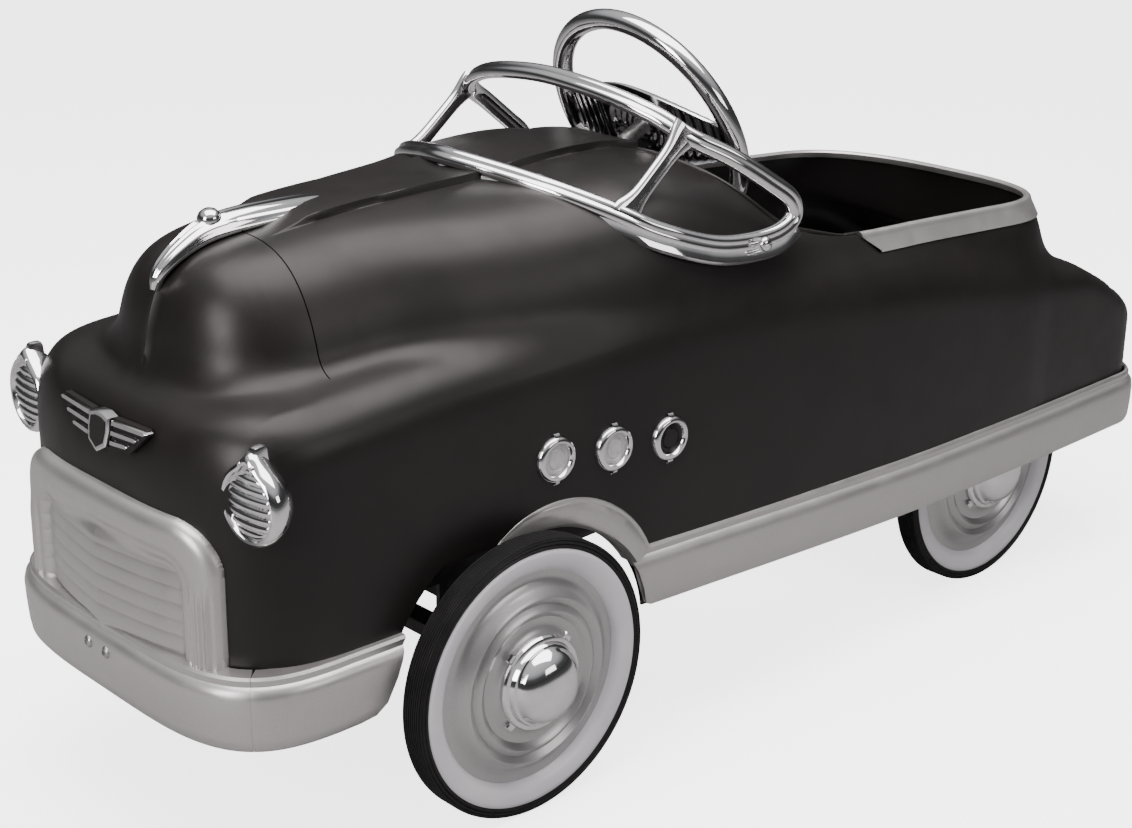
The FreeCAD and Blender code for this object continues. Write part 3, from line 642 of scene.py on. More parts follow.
def make_body():
    grid = body_skin_points()
    x, y, z = grid[..., 0], grid[..., 1], grid[..., 2]
    foot = np.exp(-((z - 322) / 10)**2) * ease((x - 110) / 30) * ease((204 - x) / 10) * (np.abs(y) < 118)
    grid = relax(grid, foot, 40)
    tub = np.exp(-((z - 300) / 26)**2) * ease((-600 - x) / 40) * ease((x + 720) / 30)
    grid = relax(grid, tub, 25)
    normal = grid_normals(grid)
    x, y, z = grid[..., 0], grid[..., 1], grid[..., 2]
    band = np.clip((BAND_HALF + 0.6 - np.abs(y)) / 1.2, 0, 1) * ease((96 - x) / 22) * (z > 340) * BAND_HIGH
    prow = 2.6 * np.exp(-(np.abs(y) / 2.6)**1.5) * ease((x - 140) / 25) * ease((z - 316) / 14) * ease((396 - z) / 20)
    grid = grid + normal * (band + prow)[..., None]
    inner = grid - normal * SHEET
    inner[0, :, 0], inner[-1, :, 0] = grid[0, :, 0] + SHEET, grid[-1, :, 0] - SHEET
    rows, cols = grid.shape[:2]
    points = np.concatenate([grid.reshape(-1, 3), inner.reshape(-1, 3)])
    count = rows * cols
    faces = quads(rows, cols)
    faces += [tuple(count + k for k in reversed(f)) for f in faces]
    faces += [(i * cols + e, (i + 1) * cols + e, count + (i + 1) * cols + e, count + i * cols + e)
              for i in range(rows - 1) for e in (0, cols - 1)]
    for first in (0, (rows - 1) * cols):
        end = first + cols - 1
        faces += [tuple(range(first, end + 1)), tuple(range(count + first, count + end + 1)),
                  (first, end, count + end, count + first)]
    mesh = raw_mesh("body_skin", points, faces, weld=0.004)
    over_rim = [(x, smooth(RIM_Z, x)) for x in np.linspace(-720, -250, 60)] + [(-250, 500), (-720, 500)]
    arch = arch_outline()
    cutters = [prism_mesh(cockpit_outline(), 300, 480, 2), prism_mesh(over_rim, -200, 200, 1),
               prism_mesh(arch, 70, 240, 1), prism_mesh(arch, -240, -70, 1),
               block_mesh((SEAM_X - SEAM_WIDTH, SEAM_X), (-104, 104), (324, 440)),
               block_mesh((150, 260), (-98, 98), (100, 238))]       # behind the grille
    return cut_away(mesh, cutters)


# ---- rolled rim, cockpit edge and side trim ------------------------------------------
def tub_point(angle, drop):
    """Point of the tub's outer skin, drop below its top edge, in a direction of the plan."""
    def place(r):
        x = TUB_MIDDLE + r * math.cos(angle)
        return x, r * math.sin(angle), smooth(RIM_Z, x) - drop

    def distance(r):
        x, y, z = place(r)
        return Section(x).distance(np.array([y]), np.array([z]))[0]
    return Vector(place(edge_between(30.0, 360.0, distance)))


RIM_SECTION = [(-13.5, 0.1), (-13.0, 1.5), (-3.0, 1.7), (-1.0, 2.2), (0.9, 2.3), (2.2, 1.0), (2.6, -1.0),
               (2.0, -2.8), (0.6, -3.9), (-1.5, -4.1), (-4.5, -3.6), (-4.5, -2.4), (-2.0, -2.2), (0.2, -1.8),
               (0.6, -0.6), (-1.0, -0.1)]
SLANT_X, SLANT = -366.0, 1.25


def make_rim_band():
    """Bright rolled rim round the back of the tub, with slanted front ends."""
    plan = [tub_point(math.radians(a), 0) for a in np.arange(58, 180.1, 1.5)]
    rows = []
    for side in (1, -1):
        part = []
        for k, p in enumerate(plan):
            angle = math.atan2(p.y, p.x - TUB_MIDDLE)
            out = outward(plan, k, TUB_MIDDLE)
            row = []
            for rise, off in RIM_SECTION:
                q = tub_point(angle, -min(rise, 0.0)) + Vector((0, 0, max(rise, 0.0))) + out * off
                limit = SLANT_X + SLANT * min(rise, 0.0)
                q.x = min(q.x, limit)
                row.append((q.x, q.y * side, q.z))
            if p.x < SLANT_X + 14:
                part.append(row)
        rows.append(part)
    ring = rows[0] + rows[1][::-1][1:]
    return capped("rim", [p for row in ring for p in row], len(RIM_SECTION))


def make_cowl_edge():
    """Small rolled edge round the front of the cockpit."""
    half = [p for p in cockpit_outline() if p[1] >= 0 and p[0] > -372]
    half = [(-376 + 38 * k / 4, 127.0) for k in range(4)] + sorted(half, key=lambda p: (p[0], -p[1]))
    path = [Vector((x, y, min(surface_height(x, y), smooth(RIM_Z, x)) - 0.4)) for x, y in half]
    full = path + [Vector((p.x, -p.y, p.z)) for p in reversed(path[:-1])]
    full = through(full, 4)
    return sweep("edge", full, [(0, 0, 1)] * len(full), oval(2.1, 2.1, 10))


def plan_path(nose, power, half):
    """Half plan outline from the middle of the nose to the middle of the tail: (x, y, normal)."""
    pts = []
    nose0, tail0 = nose - NOSE_ROUND, TAIL + TAIL_ROUND
    for k in range(33):
        a = math.pi / 2 * k / 32
        pts.append((nose0 + (nose - nose0) * math.cos(a)**(2 / power), half * math.sin(a)**(2 / power)))
    pts += [(x, smooth(HALF_WIDTH, x)) for x in range(100, -700, -16)]
    wide = smooth(HALF_WIDTH, tail0)
    for k in range(25):
        a = math.pi / 2 * (1 - k / 24)
        pts.append((tail0 + (TAIL - tail0) * math.cos(a)**(2 / 3.0), wide * math.sin(a)**(2 / 3.0)))
    return pts


def skirt(name, path, profile, trim=None):
    """Trim that follows a plan path with a profile of (z, out).  trim(x, z) limits its x."""
    points = []
    for k, (x, y) in enumerate(path):
        out = outward(path, k, BODY_MIDDLE)
        for z, off in profile:
            px, py = x + out.x * off, y + out.y * off
            points.append((trim(px, z) if trim else px, py, z))
    return capped(name, points, len(profile))


ROCKER = [(112.5, 1.5), (112, 5.5), (116, 7.0), (128, 8.0), (142, 8.2), (148, 7.4), (151, 5.2), (152.2, 3.6),
          (154, 3.8), (156.4, 4.2), (158.4, 3.0), (159, 1.2), (158, 0.1), (150, 0.2), (146, 5.4), (118, 5.0)]
BUMPER = [(104.5, 1.0), (104, 3.5), (107, 5.8), (114, 7.0), (130, 8.2), (141, 8.6), (146, 7.4), (148.4, 5.2),
          (149.4, 3.8), (151.2, 3.9), (153.6, 4.2), (155.4, 2.6), (155.8, 0.8), (154, 0.1), (147, 0.2), (143, 6.4),
          (110, 4.4)]
BUMPER_JOINT_X = 201.2
BUMPER_NOSE = NOSE + 4.0


def corner(z, edge, r):
    """How far a corner of radius r, rounded towards edge, draws back at height z."""
    t = min(max(1 - abs(z - edge) / r, 0.0), 1.0)
    return r * (1 - math.sqrt(1 - t * t))


def make_rocker():
    half = [p for p in plan_path(NOSE, 3.2, 145) if p[0] < -98]
    steps = [(x, smooth(HALF_WIDTH, x)) for x in np.arange(-98, -124, -2.0)]
    half = steps + [p for p in half if p[0] < -124]
    full = half + [(x, -y) for x, y in reversed(half[:-1])]

    def front(x, z):
        return min(x, ARCH_X - math.sqrt(max(ARCH_IN**2 - (z - ARCH_Z)**2, 0.0)) - corner(z, 112, 6.0))
    return skirt("rocker", full, ROCKER, front)


def make_bumper():
    """The middle length and the two end lengths of the bumper."""
    half = [p for p in plan_path(BUMPER_NOSE, 4.0, 146) if p[0] > 90]
    middle = [p for p in half if p[0] > BUMPER_JOINT_X] + [(BUMPER_JOINT_X, np.interp(
        -BUMPER_JOINT_X, [-p[0] for p in half], [p[1] for p in half]))]
    rest = [p for p in half if p[0] < BUMPER_JOINT_X - 0.8 and p[0] > 134]
    rest = [(BUMPER_JOINT_X - 0.7, middle[-1][1] + 0.35)] + rest
    rest += [(x, smooth(HALF_WIDTH, x) + 1.0) for x in np.arange(134, 90, -2.0)]
    centre = [(x, -y) for x, y in reversed(middle[1:])] + middle
    tray = [(z, off - (9.0 if off < 1.2 and z > 146 else 0.0)) for z, off in BUMPER]

    def back(x, z):
        return max(x, math.sqrt(SWEEP_R**2 - (z - ARCH_Z)**2) + corner(z, 104, 24.0))
    ends = [skirt("end", rest, tray, back), skirt("end", [(x, -y) for x, y in rest], tray, back)]
    return skirt("bumper", centre, tray), joined(ends, "bumper_ends")


BAND_X, BAND_Z, BAND_R = -45.0, 124.0, 88.0


def arch_inner(a):
    """Distance from the band's centre to the wheel opening, in direction a."""
    c, s = math.cos(a), math.sin(a)
    b = (BAND_X - ARCH_X) * c + (BAND_Z - ARCH_Z) * s
    out = -b + math.sqrt(b * b + ARCH_IN**2 - (BAND_X - ARCH_X)**2 - (BAND_Z - ARCH_Z)**2)
    if BAND_X + out * c > -13.4:
        out = (ARCH_TOP - BAND_Z) / s
    return out


def make_arch_bands():
    """Crescents over the rear of the front wheel openings, thin where the tyre swings past."""
    section = [(0.0, -7.0), (0.0, 0.35), (0.03, 0.75), (0.10, 0.97), (0.25, 1.0), (0.55, 0.86), (0.78, 0.62),
               (0.84, 0.40), (0.89, 0.48), (0.95, 0.46), (0.99, 0.30), (1.0, -0.05), (0.5, -0.3), (0.06, -0.4),
               (0.05, -7.0)]
    meshes = []
    for side in (1, -1):
        points = []
        angles = np.radians(np.linspace(52.5, 157.2, 72))
        for a in angles:
            start, end = arch_inner(a), BAND_R
            for t, high in section:
                r = start + (max(end - start, 0.3)) * t
                x, z = BAND_X + r * math.cos(a), BAND_Z + r * math.sin(a)
                tall = 2.6 + 5.4 * float(ease((-62 - x) / 40))
                near = float(ease((math.hypot(x, z - ARCH_Z) - 104.5) / 7))
                off = high * (0.9 + (tall - 0.9) * near) if high > -1 else high
                points.append((x, side * (side_y(x, z) + off), z))
        meshes.append(capped("arch", points, len(section)))
    return joined(meshes, "arch_bands")


# ---- grille, lamps, badge and ornament -----------------------------------------------
def nose_x(y, out=0.0, nose=NOSE, half=145.0, power=3.2):
    return NOSE - NOSE_ROUND + (nose + out - NOSE + NOSE_ROUND) * (1 - (abs(y) / (half + out))**power)**(1 / power)


GRILLE_HALF, GRILLE_LOW, GRILLE_HIGH, GRILLE_CORNER = 112.0, 147.0, 250.0, 34.0
FIELD_HALF, FIELD_HIGH = 88.0, 224.0


def grille_height(y, z):
    """How far the grille stands out from the nose: rolled frame, fluted sides, ribbed V field."""
    qy, qz = abs(y) - (GRILLE_HALF - GRILLE_CORNER), z - (GRILLE_HIGH - GRILLE_CORNER)
    inside = GRILLE_CORNER - math.hypot(max(qy, 0), max(qz, 0)) - min(max(qy, qz), 0)
    if inside <= 0:
        return -1.2
    r = 18.0
    fy, fz = abs(y) - (FIELD_HALF - r), z - (FIELD_HIGH - r)
    deep = r - math.hypot(max(fy, 0), max(fz, 0)) - min(max(fy, fz), 0)
    roll = min(inside / 12.0, 1.0)
    frame = 9.5 * math.sqrt(1 - (1 - roll)**2.4)
    frame -= 3.0 * float(ease((deep + 9) / 9))
    sink = float(ease(deep / 8.0))
    flute = 1.1 * math.cos((abs(y) - 94) / 5.0 * 2 * math.pi) if 89 < abs(y) < 109 else 0.0
    flute *= float(ease((214 - z) / 20.0)) * float(ease((abs(y) - 89) / 2.5)) * float(ease((109 - abs(y)) / 2.5))
    step = (z - 158) / 11.0
    rib = 2.2 * (1 - (step - math.floor(step)))**0.8 if z > 158 else 0.0
    field = -1.5 + rib + 10.0 * max(1 - abs(y) / FIELD_HALF, 0.0)
    return frame * (1 - sink) + field * sink + flute * (1 - sink)


def make_grille():
    ys = np.concatenate([np.arange(-113, -84, 0.8), np.arange(-84, 84, 1.8), np.arange(84, 113.5, 0.8)])
    ys = np.sort(np.append(ys, 0.0))
    zs = np.arange(GRILLE_LOW, GRILLE_HIGH + 2, 0.75)
    front, back = [], []
    for y in ys:
        slope = (nose_x(y + 0.5) - nose_x(y - 0.5))
        n = Vector((1, -slope)).normalized()
        for z in zs:
            d = grille_height(y, z)
            lean = 0.06 * max(z - 200, 0.0)
            front.append((nose_x(y) + n.x * d - lean * 0.4, y + n.y * d, z))
            back.append((nose_x(y) - n.x * 9.0, y - n.y * 9.0, z))
    return slab("grille", front, back, len(ys), len(zs))[0]


LAMP = Vector((189.0, 134.0, 270.0))
LAMP_TURN = 5.0


def on_lamp(point, side):
    return Vector((LAMP.x, side * LAMP.y, LAMP.z)) + lamp_turn(side) @ Vector(point)


def lamp_turn(side):
    return Matrix.Rotation(math.radians(side * LAMP_TURN), 3, "Z")


def lamp_shape(profile, side, turns=144, ribs=False):
    """Lamp surface: (x, radius) points turned about the lamp's axis, drawn up to a point."""
    points = []
    for k in range(turns):
        a = 2 * math.pi * k / turns
        for x, r in profile:
            y, z = r * math.sin(a), r * math.cos(a)
            if z > 0 and r > 0:
                z *= 1 + 0.26 * math.exp(-(y / (0.30 * max(r, 6.0)))**2) * (z / 27.0)
            if ribs:
                x = x + (1.5 * abs(math.cos(math.pi * z / 6.0)) - 0.6) * min((21.3 - r) / 1.6, 1.0)
            points.append((x, y, z))
    return raw_mesh("lamp", [on_lamp(p, side) for p in points], quads(turns, len(profile), True, False))


def make_lamp(side):
    bezel = [(-12, 2), (-12, 15), (-6, 22), (0, 25.4), (5, 27), (8.6, 27), (11.2, 25.8), (12.6, 23.8),
             (12.2, 22.3), (10.8, 21.6), (9.8, 21.2), (9.4, 2)]
    lens = [(6.8 + 6.5 * math.sqrt(1 - (r / 23.5)**2), r) for r in [21.2 - 0.42 * k for k in range(50)] + [0.05]]
    tab = []
    block = [(-3, -3.2), (5, -3.6), (8, -2.4), (8, 2.4), (5, 3.6), (-3, 3.2)]
    for z, grow in ((24, 1.15), (30, 1.0), (34.5, 0.94), (36.6, 0.76), (37.2, 0.45)):
        tab += [on_lamp((2 + (x - 2) * grow, y * grow, z), side) for x, y in block]
    stud = [(0, 1.8), (1.3, 1.5), (2.0, 0.5), (2.2, -3), (0, -3)]
    forward = lamp_turn(side) @ Vector((1, 0, 0))
    studs = [lathe("stud", stud, on_lamp((11.2, y, 26.0), side), forward, 16) for y in (-5.6, 5.6)]
    return joined([lamp_shape(bezel, side), lamp_shape(lens, side, ribs=True), capped("tab", tab, 6)] + studs, "lamp")


def extruded(outline, thick, bevel, place):
    """Flat plate with a bevelled front; outline is (y, z), place maps (x, y, z)."""
    n = len(outline)
    cy = sum(p[0] for p in outline) / n
    cz = sum(p[1] for p in outline) / n
    size = max(math.hypot(y - cy, z - cz) for y, z in outline)
    points = []
    for x, shrink in ((-2.0, 0.0), (thick - bevel, 0.0), (thick, bevel)):
        k = 1 - shrink / size
        points += [place((x, cy + (y - cy) * k, cz + (z - cz) * k)) for y, z in outline]
    return capped("plate", points, n)


def make_badge():
    """A plain shield between two three-bar wings; the shield's face is a darker inlay."""
    def place(p):
        x, y, z = p
        return (nose_x(y) - 4.2 - BADGE_SLOPE * (z - 4) + x, y, BADGE_Z + z)
    shield = [(-11.5, 12), (-4.5, 14), (4.5, 14), (11.5, 12), (12, 3), (10, -7), (0, -12.5), (-10, -7), (-12, 3)]
    bright, dark = [extruded(shield, 5.5, 1.2, place)], []
    for side in (1, -1):
        for k in range(3):
            tip, root = 50 - 9 * k, 13
            z = 9.5 - 6.4 * k
            bar = [(root, z - 1.5), (tip, z + 0.4), (tip + 1.5, z + 1.8), (tip - 1.0, z + 2.9), (root, z + 1.4)]
            bright.append(extruded([(side * y, zz) for y, zz in bar], 4.2, 0.8, place))
        back = [(12, 12.2), (49, 13.6), (51, 10), (34, -6), (12, -9)]
        dark.append(extruded([(side * y, zz) for y, zz in back], 1.8, 0.4, place))
    face = extruded([(y * 0.78, 0.2 + z * 0.78) for y, z in shield], 6.0, 0.6, place)
    return joined(bright, "badge"), joined(dark + [face], "inlay")


def make_ornament():
    """Long ribbed wing with a round knob over the hood's centreline."""
    spine = [(174, 371, 2.5, 4), (171, 380, 5.5, 5.5), (162, 388, 8, 7), (150, 394.5, 9.5, 9), (138, 399, 11, 11),
             (124, 402, 13, 11.5), (105, 404.5, 15.5, 10.5), (84, 406.3, 17, 9), (62, 407.6, 17.5, 7.5),
             (46, 408.6, 16.5, 5.5), (42, 409, 13, 2.5)]
    curve = through([(x, z, 0) for x, z, w, h in spine], 6)
    sizes = through([(w, h, 0) for x, z, w, h in spine], 6)
    points, steps = [], 48
    for k, (c, s) in enumerate(zip(curve, sizes)):
        c0, c1 = curve[max(k - 1, 0)], curve[min(k + 1, len(curve) - 1)]
        t = Vector((c1.x - c0.x, 0, c1.y - c0.y)).normalized()
        up = Vector((-t.z, 0, t.x)) if t.x > 0 else Vector((t.z, 0, -t.x))
        fade = min(k / 10.0, 1.0)
        for j in range(steps):
            a = 2 * math.pi * j / steps
            lift = math.sin(a)
            rib = 1 + 0.07 * fade * math.cos(10 * a) * max(lift, 0)
            y, h = s.x * math.cos(a) * rib, (s.y if lift > 0 else 3.0) * lift * rib
            points.append(tuple(Vector((c.x, 0, c.y)) + Vector((0, y, 0)) + up * h))
    ball = [(0, 9.2), (3, 8.8), (5.8, 7.2), (7.6, 4.6), (8.2, 1.6), (7.4, -1.8), (5.8, -4.4), (5.2, -8), (0, -8)]
    knob = lathe("knob", ball, (131, 0, 409), (0.25, 0, 1), 40)
    return joined([capped("wing", points, steps), knob], "ornament")


# ---- windscreen frame and steering wheel ---------------------------------------------
LOWER_RAIL = [(-66, 0, 424), (-80, 45, 418), (-95, 82, 410.5), (-117, 113, 398.5), (-149, 134, 381.5),
              (-190, 143, 367.5), (-225, 146, 363.5), (-254, 148, 366), (-272, 147, 375)]
UPPER_RAIL = [(-160, 0, 471), (-164, 55, 466), (-175, 95, 455), (-190, 119, 440), (-218, 134, 424),
              (-248, 143, 404), (-268, 147, 389)]


SCREEN_FOOT = -268.0                              # x of the frame's feet
SCREEN_HALF = 148.0


def make_screen():
    left = LOWER_RAIL + UPPER_RAIL[::-1]
    loop = left + [(x, -y, z) for x, y, z in reversed(left[1:-1])]
    path = through(loop, 8, closed=True)
    normals = []
    for p in path:
        side = max(min(abs(p.y) / SCREEN_HALF, 1.0), 0.0)**3 * (1 if p.y > 0 else -1)
        normals.append((0.75 * (1 - abs(side)), side, 0.75 * (1 - abs(side)) + 0.1))
    tube = sweep("tube", path, normals, oval(7.2, 5.4, 28, 2.0, 0.26, 90, 16), closed=True)
    low = through(LOWER_RAIL, 8)
    low = [Vector((p.x, -p.y, p.z)) for p in reversed(low[1:])] + low
    away = [outward(low, k, SCREEN_FOOT) for k in range(len(low))]
    strip = [(-8.5, -3.5), (-9, -1.6), (-7.5, -0.2), (-4, 0.8), (0, 1.4), (4, 0.8), (7, -0.4), (7.6, -3.5)]
    flange = sweep("flange", [p + a * 3.5 + Vector((0, 0, -5.5)) for p, a in zip(low, away)],
                   [a * 0.75 + Vector((0, 0, 0.65)) for a in away], strip)
    bars = []
    for side in (1, -1):
        a, b = Vector((-126, side * 119, 393)), Vector((-188, side * 117.5, 445))
        bar_path = [a + (b - a) * (k / 16) for k in range(17)]
        n = len(bar_path)
        rows = []
        for k, p in enumerate(bar_path):
            flare = 1 + 0.9 * math.exp(-(k / 2.6)**2) + 0.9 * math.exp(-((n - 1 - k) / 2.6)**2)
            t = (b - a).normalized()
            out = Vector((0.2, side, 0.2))
            out = (out - t * out.dot(t)).normalized()
            across = t.cross(out)
            rows += [tuple(p + (across * u * flare + out * v)) for u, v in oval(6.6, 4.2, 20, 2.6, 0.2, 90, 20)]
        bars.append(raw_mesh("bar", rows, quads(n, 20, False, True)))
    return joined([tube, flange] + bars, "screen")


def make_screen_screws():
    meshes = []
    for side in (1, -1):
        head = [(0, 2.6), (2.6, 2.4), (4.6, 1.4), (5.4, 0), (5.4, -1.2), (0, -1.2)]
        screw = lathe("screw", head, (-232, side * 157.5, 363.5), (0, side, 0.15), 32)
        slot = block_mesh((-239, -225), sorted((side * 158.9, side * 164)), (362.9, 364.1))
        meshes.append(cut_away(screw, [slot]))
    return joined(meshes, "screws")


STEER = Vector((-268.0, 0.0, 423.0))
STEER_TILT = math.radians(26.0)
WHEEL_R, WHEEL_TUBE = 89.0, 8.0
UP_AXIS = Vector((-math.cos(STEER_TILT), 0, math.sin(STEER_TILT)))
UP_IN_PLANE = Vector((math.sin(STEER_TILT), 0, math.cos(STEER_TILT)))


def on_wheel(u, v, w):
    """u to the car's left, v up in the plane of the steering wheel, w towards the driver."""
    return tuple(STEER + Vector((0, u, 0)) + UP_IN_PLANE * v + UP_AXIS * w)


def make_wheel_rim():
    points, turns = [], 144
    section = oval(WHEEL_TUBE, WHEEL_TUBE, 32, 2.0, 0.12, 215, 15)
    for k in range(turns):
        a = 2 * math.pi * k / turns
        for p, q in section:
            r = WHEEL_R + p
            points.append(on_wheel(r * math.cos(a), r * math.sin(a), q))
    return raw_mesh("rim", points, quads(turns, len(section), True, True))


HUB_HALF, HUB_SINK, HUB_SHEET = 84.0, -14.0, 2.0


def hub_edges(u):
    """Lower and upper edge of the hub plate at u."""
    t = abs(u) / 86.0
    return -25 + 9 * t * t - 14 * math.exp(-(u / 20.0)**2), 43 - 30 * t**1.6


def make_wheel_hub():
    """Broad pressed plate across the wheel with ribbed arms and a stepped boss."""
    us = np.linspace(-HUB_HALF, HUB_HALF, 169)
    steps = 40
    top, bottom = [], []
    for u in us:
        lo, hi = hub_edges(u)
        for k in range(steps + 1):
            v = lo + (hi - lo) * k / steps
            edge = min(k, steps - k) / steps
            r = math.hypot(u, v + 4)
            crown = 5.0 * math.sqrt(1 - (1 - min(edge * 5, 1.0))**2)
            on_arm = float(ease((abs(u) - 34) / 6)) * float(ease((80 - abs(u)) / 6))
            ribs = 0.6 * math.cos(2 * math.pi * u / 8.0) * on_arm
            dish = 4.0 * float(ease((34 - r) / 5))
            ring = 1.2 * math.cos(2 * math.pi * r / 6.5) if r < 30 else 0.0
            w = HUB_SINK + 9 * (abs(u) / HUB_HALF)**2 + crown + ribs * min(edge * 8, 1.0) + dish + ring
            top.append(on_wheel(u, v, w))
            bottom.append(on_wheel(u, v, w - HUB_SHEET))
    return slab("hub", top, bottom, len(us), steps + 1)[0]


def make_hub_cap():
    profile = [(0, 5.6), (5, 5.2), (9, 4.0), (11.5, 2.2), (12.2, 0.4), (16, 0.0), (18.5, -0.6), (19.5, -2.4),
               (19.5, -9), (0, -9)]
    return lathe("cap", profile, on_wheel(0, -4, 2.5), UP_AXIS, 64)


# ---- wheels --------------------------------------------------------------------------
TYRE_R = 101.0
RIBS = 8


def tyre_profile():
    outer = [(89, -18), (95, -20.3), (98.5, -20.0), (100.2, -18.9)]
    for k in range(RIBS):
        y = -18.0 + k * 2.1
        outer += [(100.9, y + 0.25), (101.0, y + 0.9), (100.9, y + 1.5), (99.9, y + 1.8)]
    return outer + [(100.4, -0.9), (99.4, -0.4), (98.7, -1.0), (97.9, -0.2), (97.0, 0.0), (96.2, -0.7), (95.4, 0.1),
                    (94.4, 0.0), (93.0, -1.0), (93.0, -2.5), (89, -2.5)]


# Wheel profiles: (radius, distance out from the tyre's face)
DISC_PROFILE = [(6.2, 3.0), (33, 3.0), (36.5, 0.8), (41, -1.4), (45.5, -1.0), (48.2, 1.4), (50.2, 2.4), (52.2, 1.6),
                (55, -0.9), (57.4, 0.6), (59.6, 1.9), (61.8, 1.0), (65.4, -3.2), (69, -6.0), (72.5, -7.4), (76.4, -6.6),
                (77.4, -6.8), (77.0, -8.6), (71.5, -9.6), (65, -5.0), (60, -0.8), (55, -3.2), (50, 0.0), (45, -3.2),
                (36, -1.6), (32, 1.0), (10, 1.0), (10, -22), (6.2, -22)]
WALL_PROFILE = [(76.9, -6.4), (78.4, -4.4), (80.4, -2.0), (82.6, -0.9), (86, -0.2), (90, 0.2), (92.4, 0.0),
                (93.4, -0.8), (93.2, -2.4), (88.8, -2.6), (88.8, -17.5), (87, -17.5), (87, -3.4), (80, -3.6), (77, -8.4)]
CAP_PROFILE = [(34, 3.0), (34.4, 5.0), (33.4, 6.6), (31.8, 7.2), (30.6, 7.4), (30.0, 9.0), (29.2, 10.4), (28.0, 10.8),
               (27.2, 11.8), (26, 14.8), (23.5, 18.4), (19.5, 21.5), (14, 24.0), (7.5, 25.6), (0, 26.0), (0, 24.0),
               (13, 22.2), (21, 17.0), (25, 10), (28, 8.8), (29, 6.4), (32.4, 5), (32.4, 3.0)]


def make_cap(centre, side):
    meshes = [lathe("cap", CAP_PROFILE, centre, (0, side, 0), 112)]
    for k in range(4):
        a = math.radians(45 + 90 * k)
        out = Vector((math.cos(a), 0, math.sin(a)))
        across = Vector((-math.sin(a), 0, math.cos(a)))
        rows = []
        for r, high in ((33.6, 5.6), (35.2, 5.8), (37.6, 4.6), (38.6, 3.2)):
            for t, rise in ((-3.4, 0.0), (-2.6, 1.0), (2.6, 1.0), (3.4, 0.0)):
                rows.append(tuple(Vector(centre) + out * r + across * t + Vector((0, side * (high * 0.6 + rise), 0))))
        meshes.append(raw_mesh("tab", rows, quads(4, 4)))
    return joined(meshes, "cap")


# ---- portholes, bolts and seat -------------------------------------------------------
PORTS = [(-42.0, 243.0), (-93.0, 239.5), (-144.0, 236.0)]


def make_portholes():
    rings, discs, dark = [], [], []
    for side in (1, -1):
        for k, (x, z) in enumerate(PORTS):
            y = side_y(x, z)
            axis = (0.03 * side, side, 0.0)
            ring = [(10.6, 0.4), (11.2, 2.6), (12.4, 3.9), (13.8, 4.0), (15.6, 3.0), (16.6, 1.2), (16.8, -1.5),
                    (10.6, -1.5)]
            centre = (x, side * y, z)
            rings.append(lathe("ring", ring, centre, axis, 64))
            for turn in (90, 270):
                a = math.radians(turn)
                rows = []
                for r, high in ((15.2, 2.6), (17.4, 2.0), (18.8, 0.6)):
                    for t in (-2.4, -1.8, 1.8, 2.4):
                        dip = 0.8 if abs(t) > 2 else 0.0
                        rows.append((x + r * math.cos(a) - t * math.sin(a), side * (y + high - dip),
                                     z + r * math.sin(a) + t * math.cos(a)))
                rings.append(raw_mesh("lug", rows, quads(3, 4)))
            disc = [(0, 1.4), (6.6, 1.4), (7.4, 0.7), (8.2, 1.4), (9.6, 1.2), (11.2, 0.6), (11.2, -2), (0, -2)]
            (dark if k == 2 else discs).append(lathe("disc", disc, centre, axis, 48))
    return joined(rings, "rings"), joined(discs, "discs"), joined(dark, "dark")


def make_bumper_bolts():
    meshes = []
    for side in (1, -1):
        x = BUMPER_NOSE + 8.3
        head = [(0, 2.4), (2.2, 2.2), (3.8, 1.2), (4.4, 0), (4.4, -1.5), (0, -1.5)]
        bolt = lathe("bolt", head, (x, side * 11.0, 137.5), (1, 0, 0), 32)
        socket = lathe("socket", [(0, 6), (1.9, 6), (1.9, 1.0), (0, 1.0)], (x, side * 11.0, 137.5), (1, 0, 0), 6)
        meshes.append(cut_away(bolt, [socket]))
    return joined(meshes, "bolts")


def make_seat_pad():
    """Stuffed pad: crowned, sides drawn in between the corners, with piping round its edge."""
    low, high = (Vector(c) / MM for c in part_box("seat_pad"))
    low.x, high.x = low.x - AXLE_X / MM, high.x - AXLE_X / MM
    mid, half = (low + high) / 2, (high - low) / 2
    n = 64
    top, bottom = [], []
    for i in range(n + 1):
        for j in range(n + 1):
            u, v = 2 * i / n - 1, 2 * j / n - 1
            pull = 0.025
            x = mid.x + half.x * u * (1 - pull * (1 - v * v))
            y = mid.y + half.y * v * (1 - pull * (1 - u * u))
            edge = max(abs(u), abs(v))
            body = (1 - u**6) * (1 - v**6)
            wave = 0.35 * noise.noise(Vector((x * 0.03, y * 0.03, 0)))
            rise = half.z * (0.15 + 0.85 * max(body, 0.0)**0.35 * (1 - 0.18 * (u * u + v * v))) + wave * (1 - edge**4)
            top.append((x, y, mid.z + rise))
            bottom.append((x, y, mid.z - half.z * (0.15 + 0.85 * max(body, 0.0)**0.2)))
    pad, rim = slab("pad", top, bottom, n + 1, n + 1)
    edge = [Vector(top[k]) + Vector((0, 0, -half.z * 0.15)) for k in rim[::2]]
    edge = through([tuple(p) for p in edge], 1, closed=True)
    piping = sweep("piping", edge, [(0, 0, 1)] * len(edge), oval(2.0, 2.0, 10), closed=True)
    return joined([pad, piping], "seat_cushion")


# ---- the pieces ----------------------------------------------------------------------
FINISHES = {**MATERIALS, "whitewall": WHITEWALL}

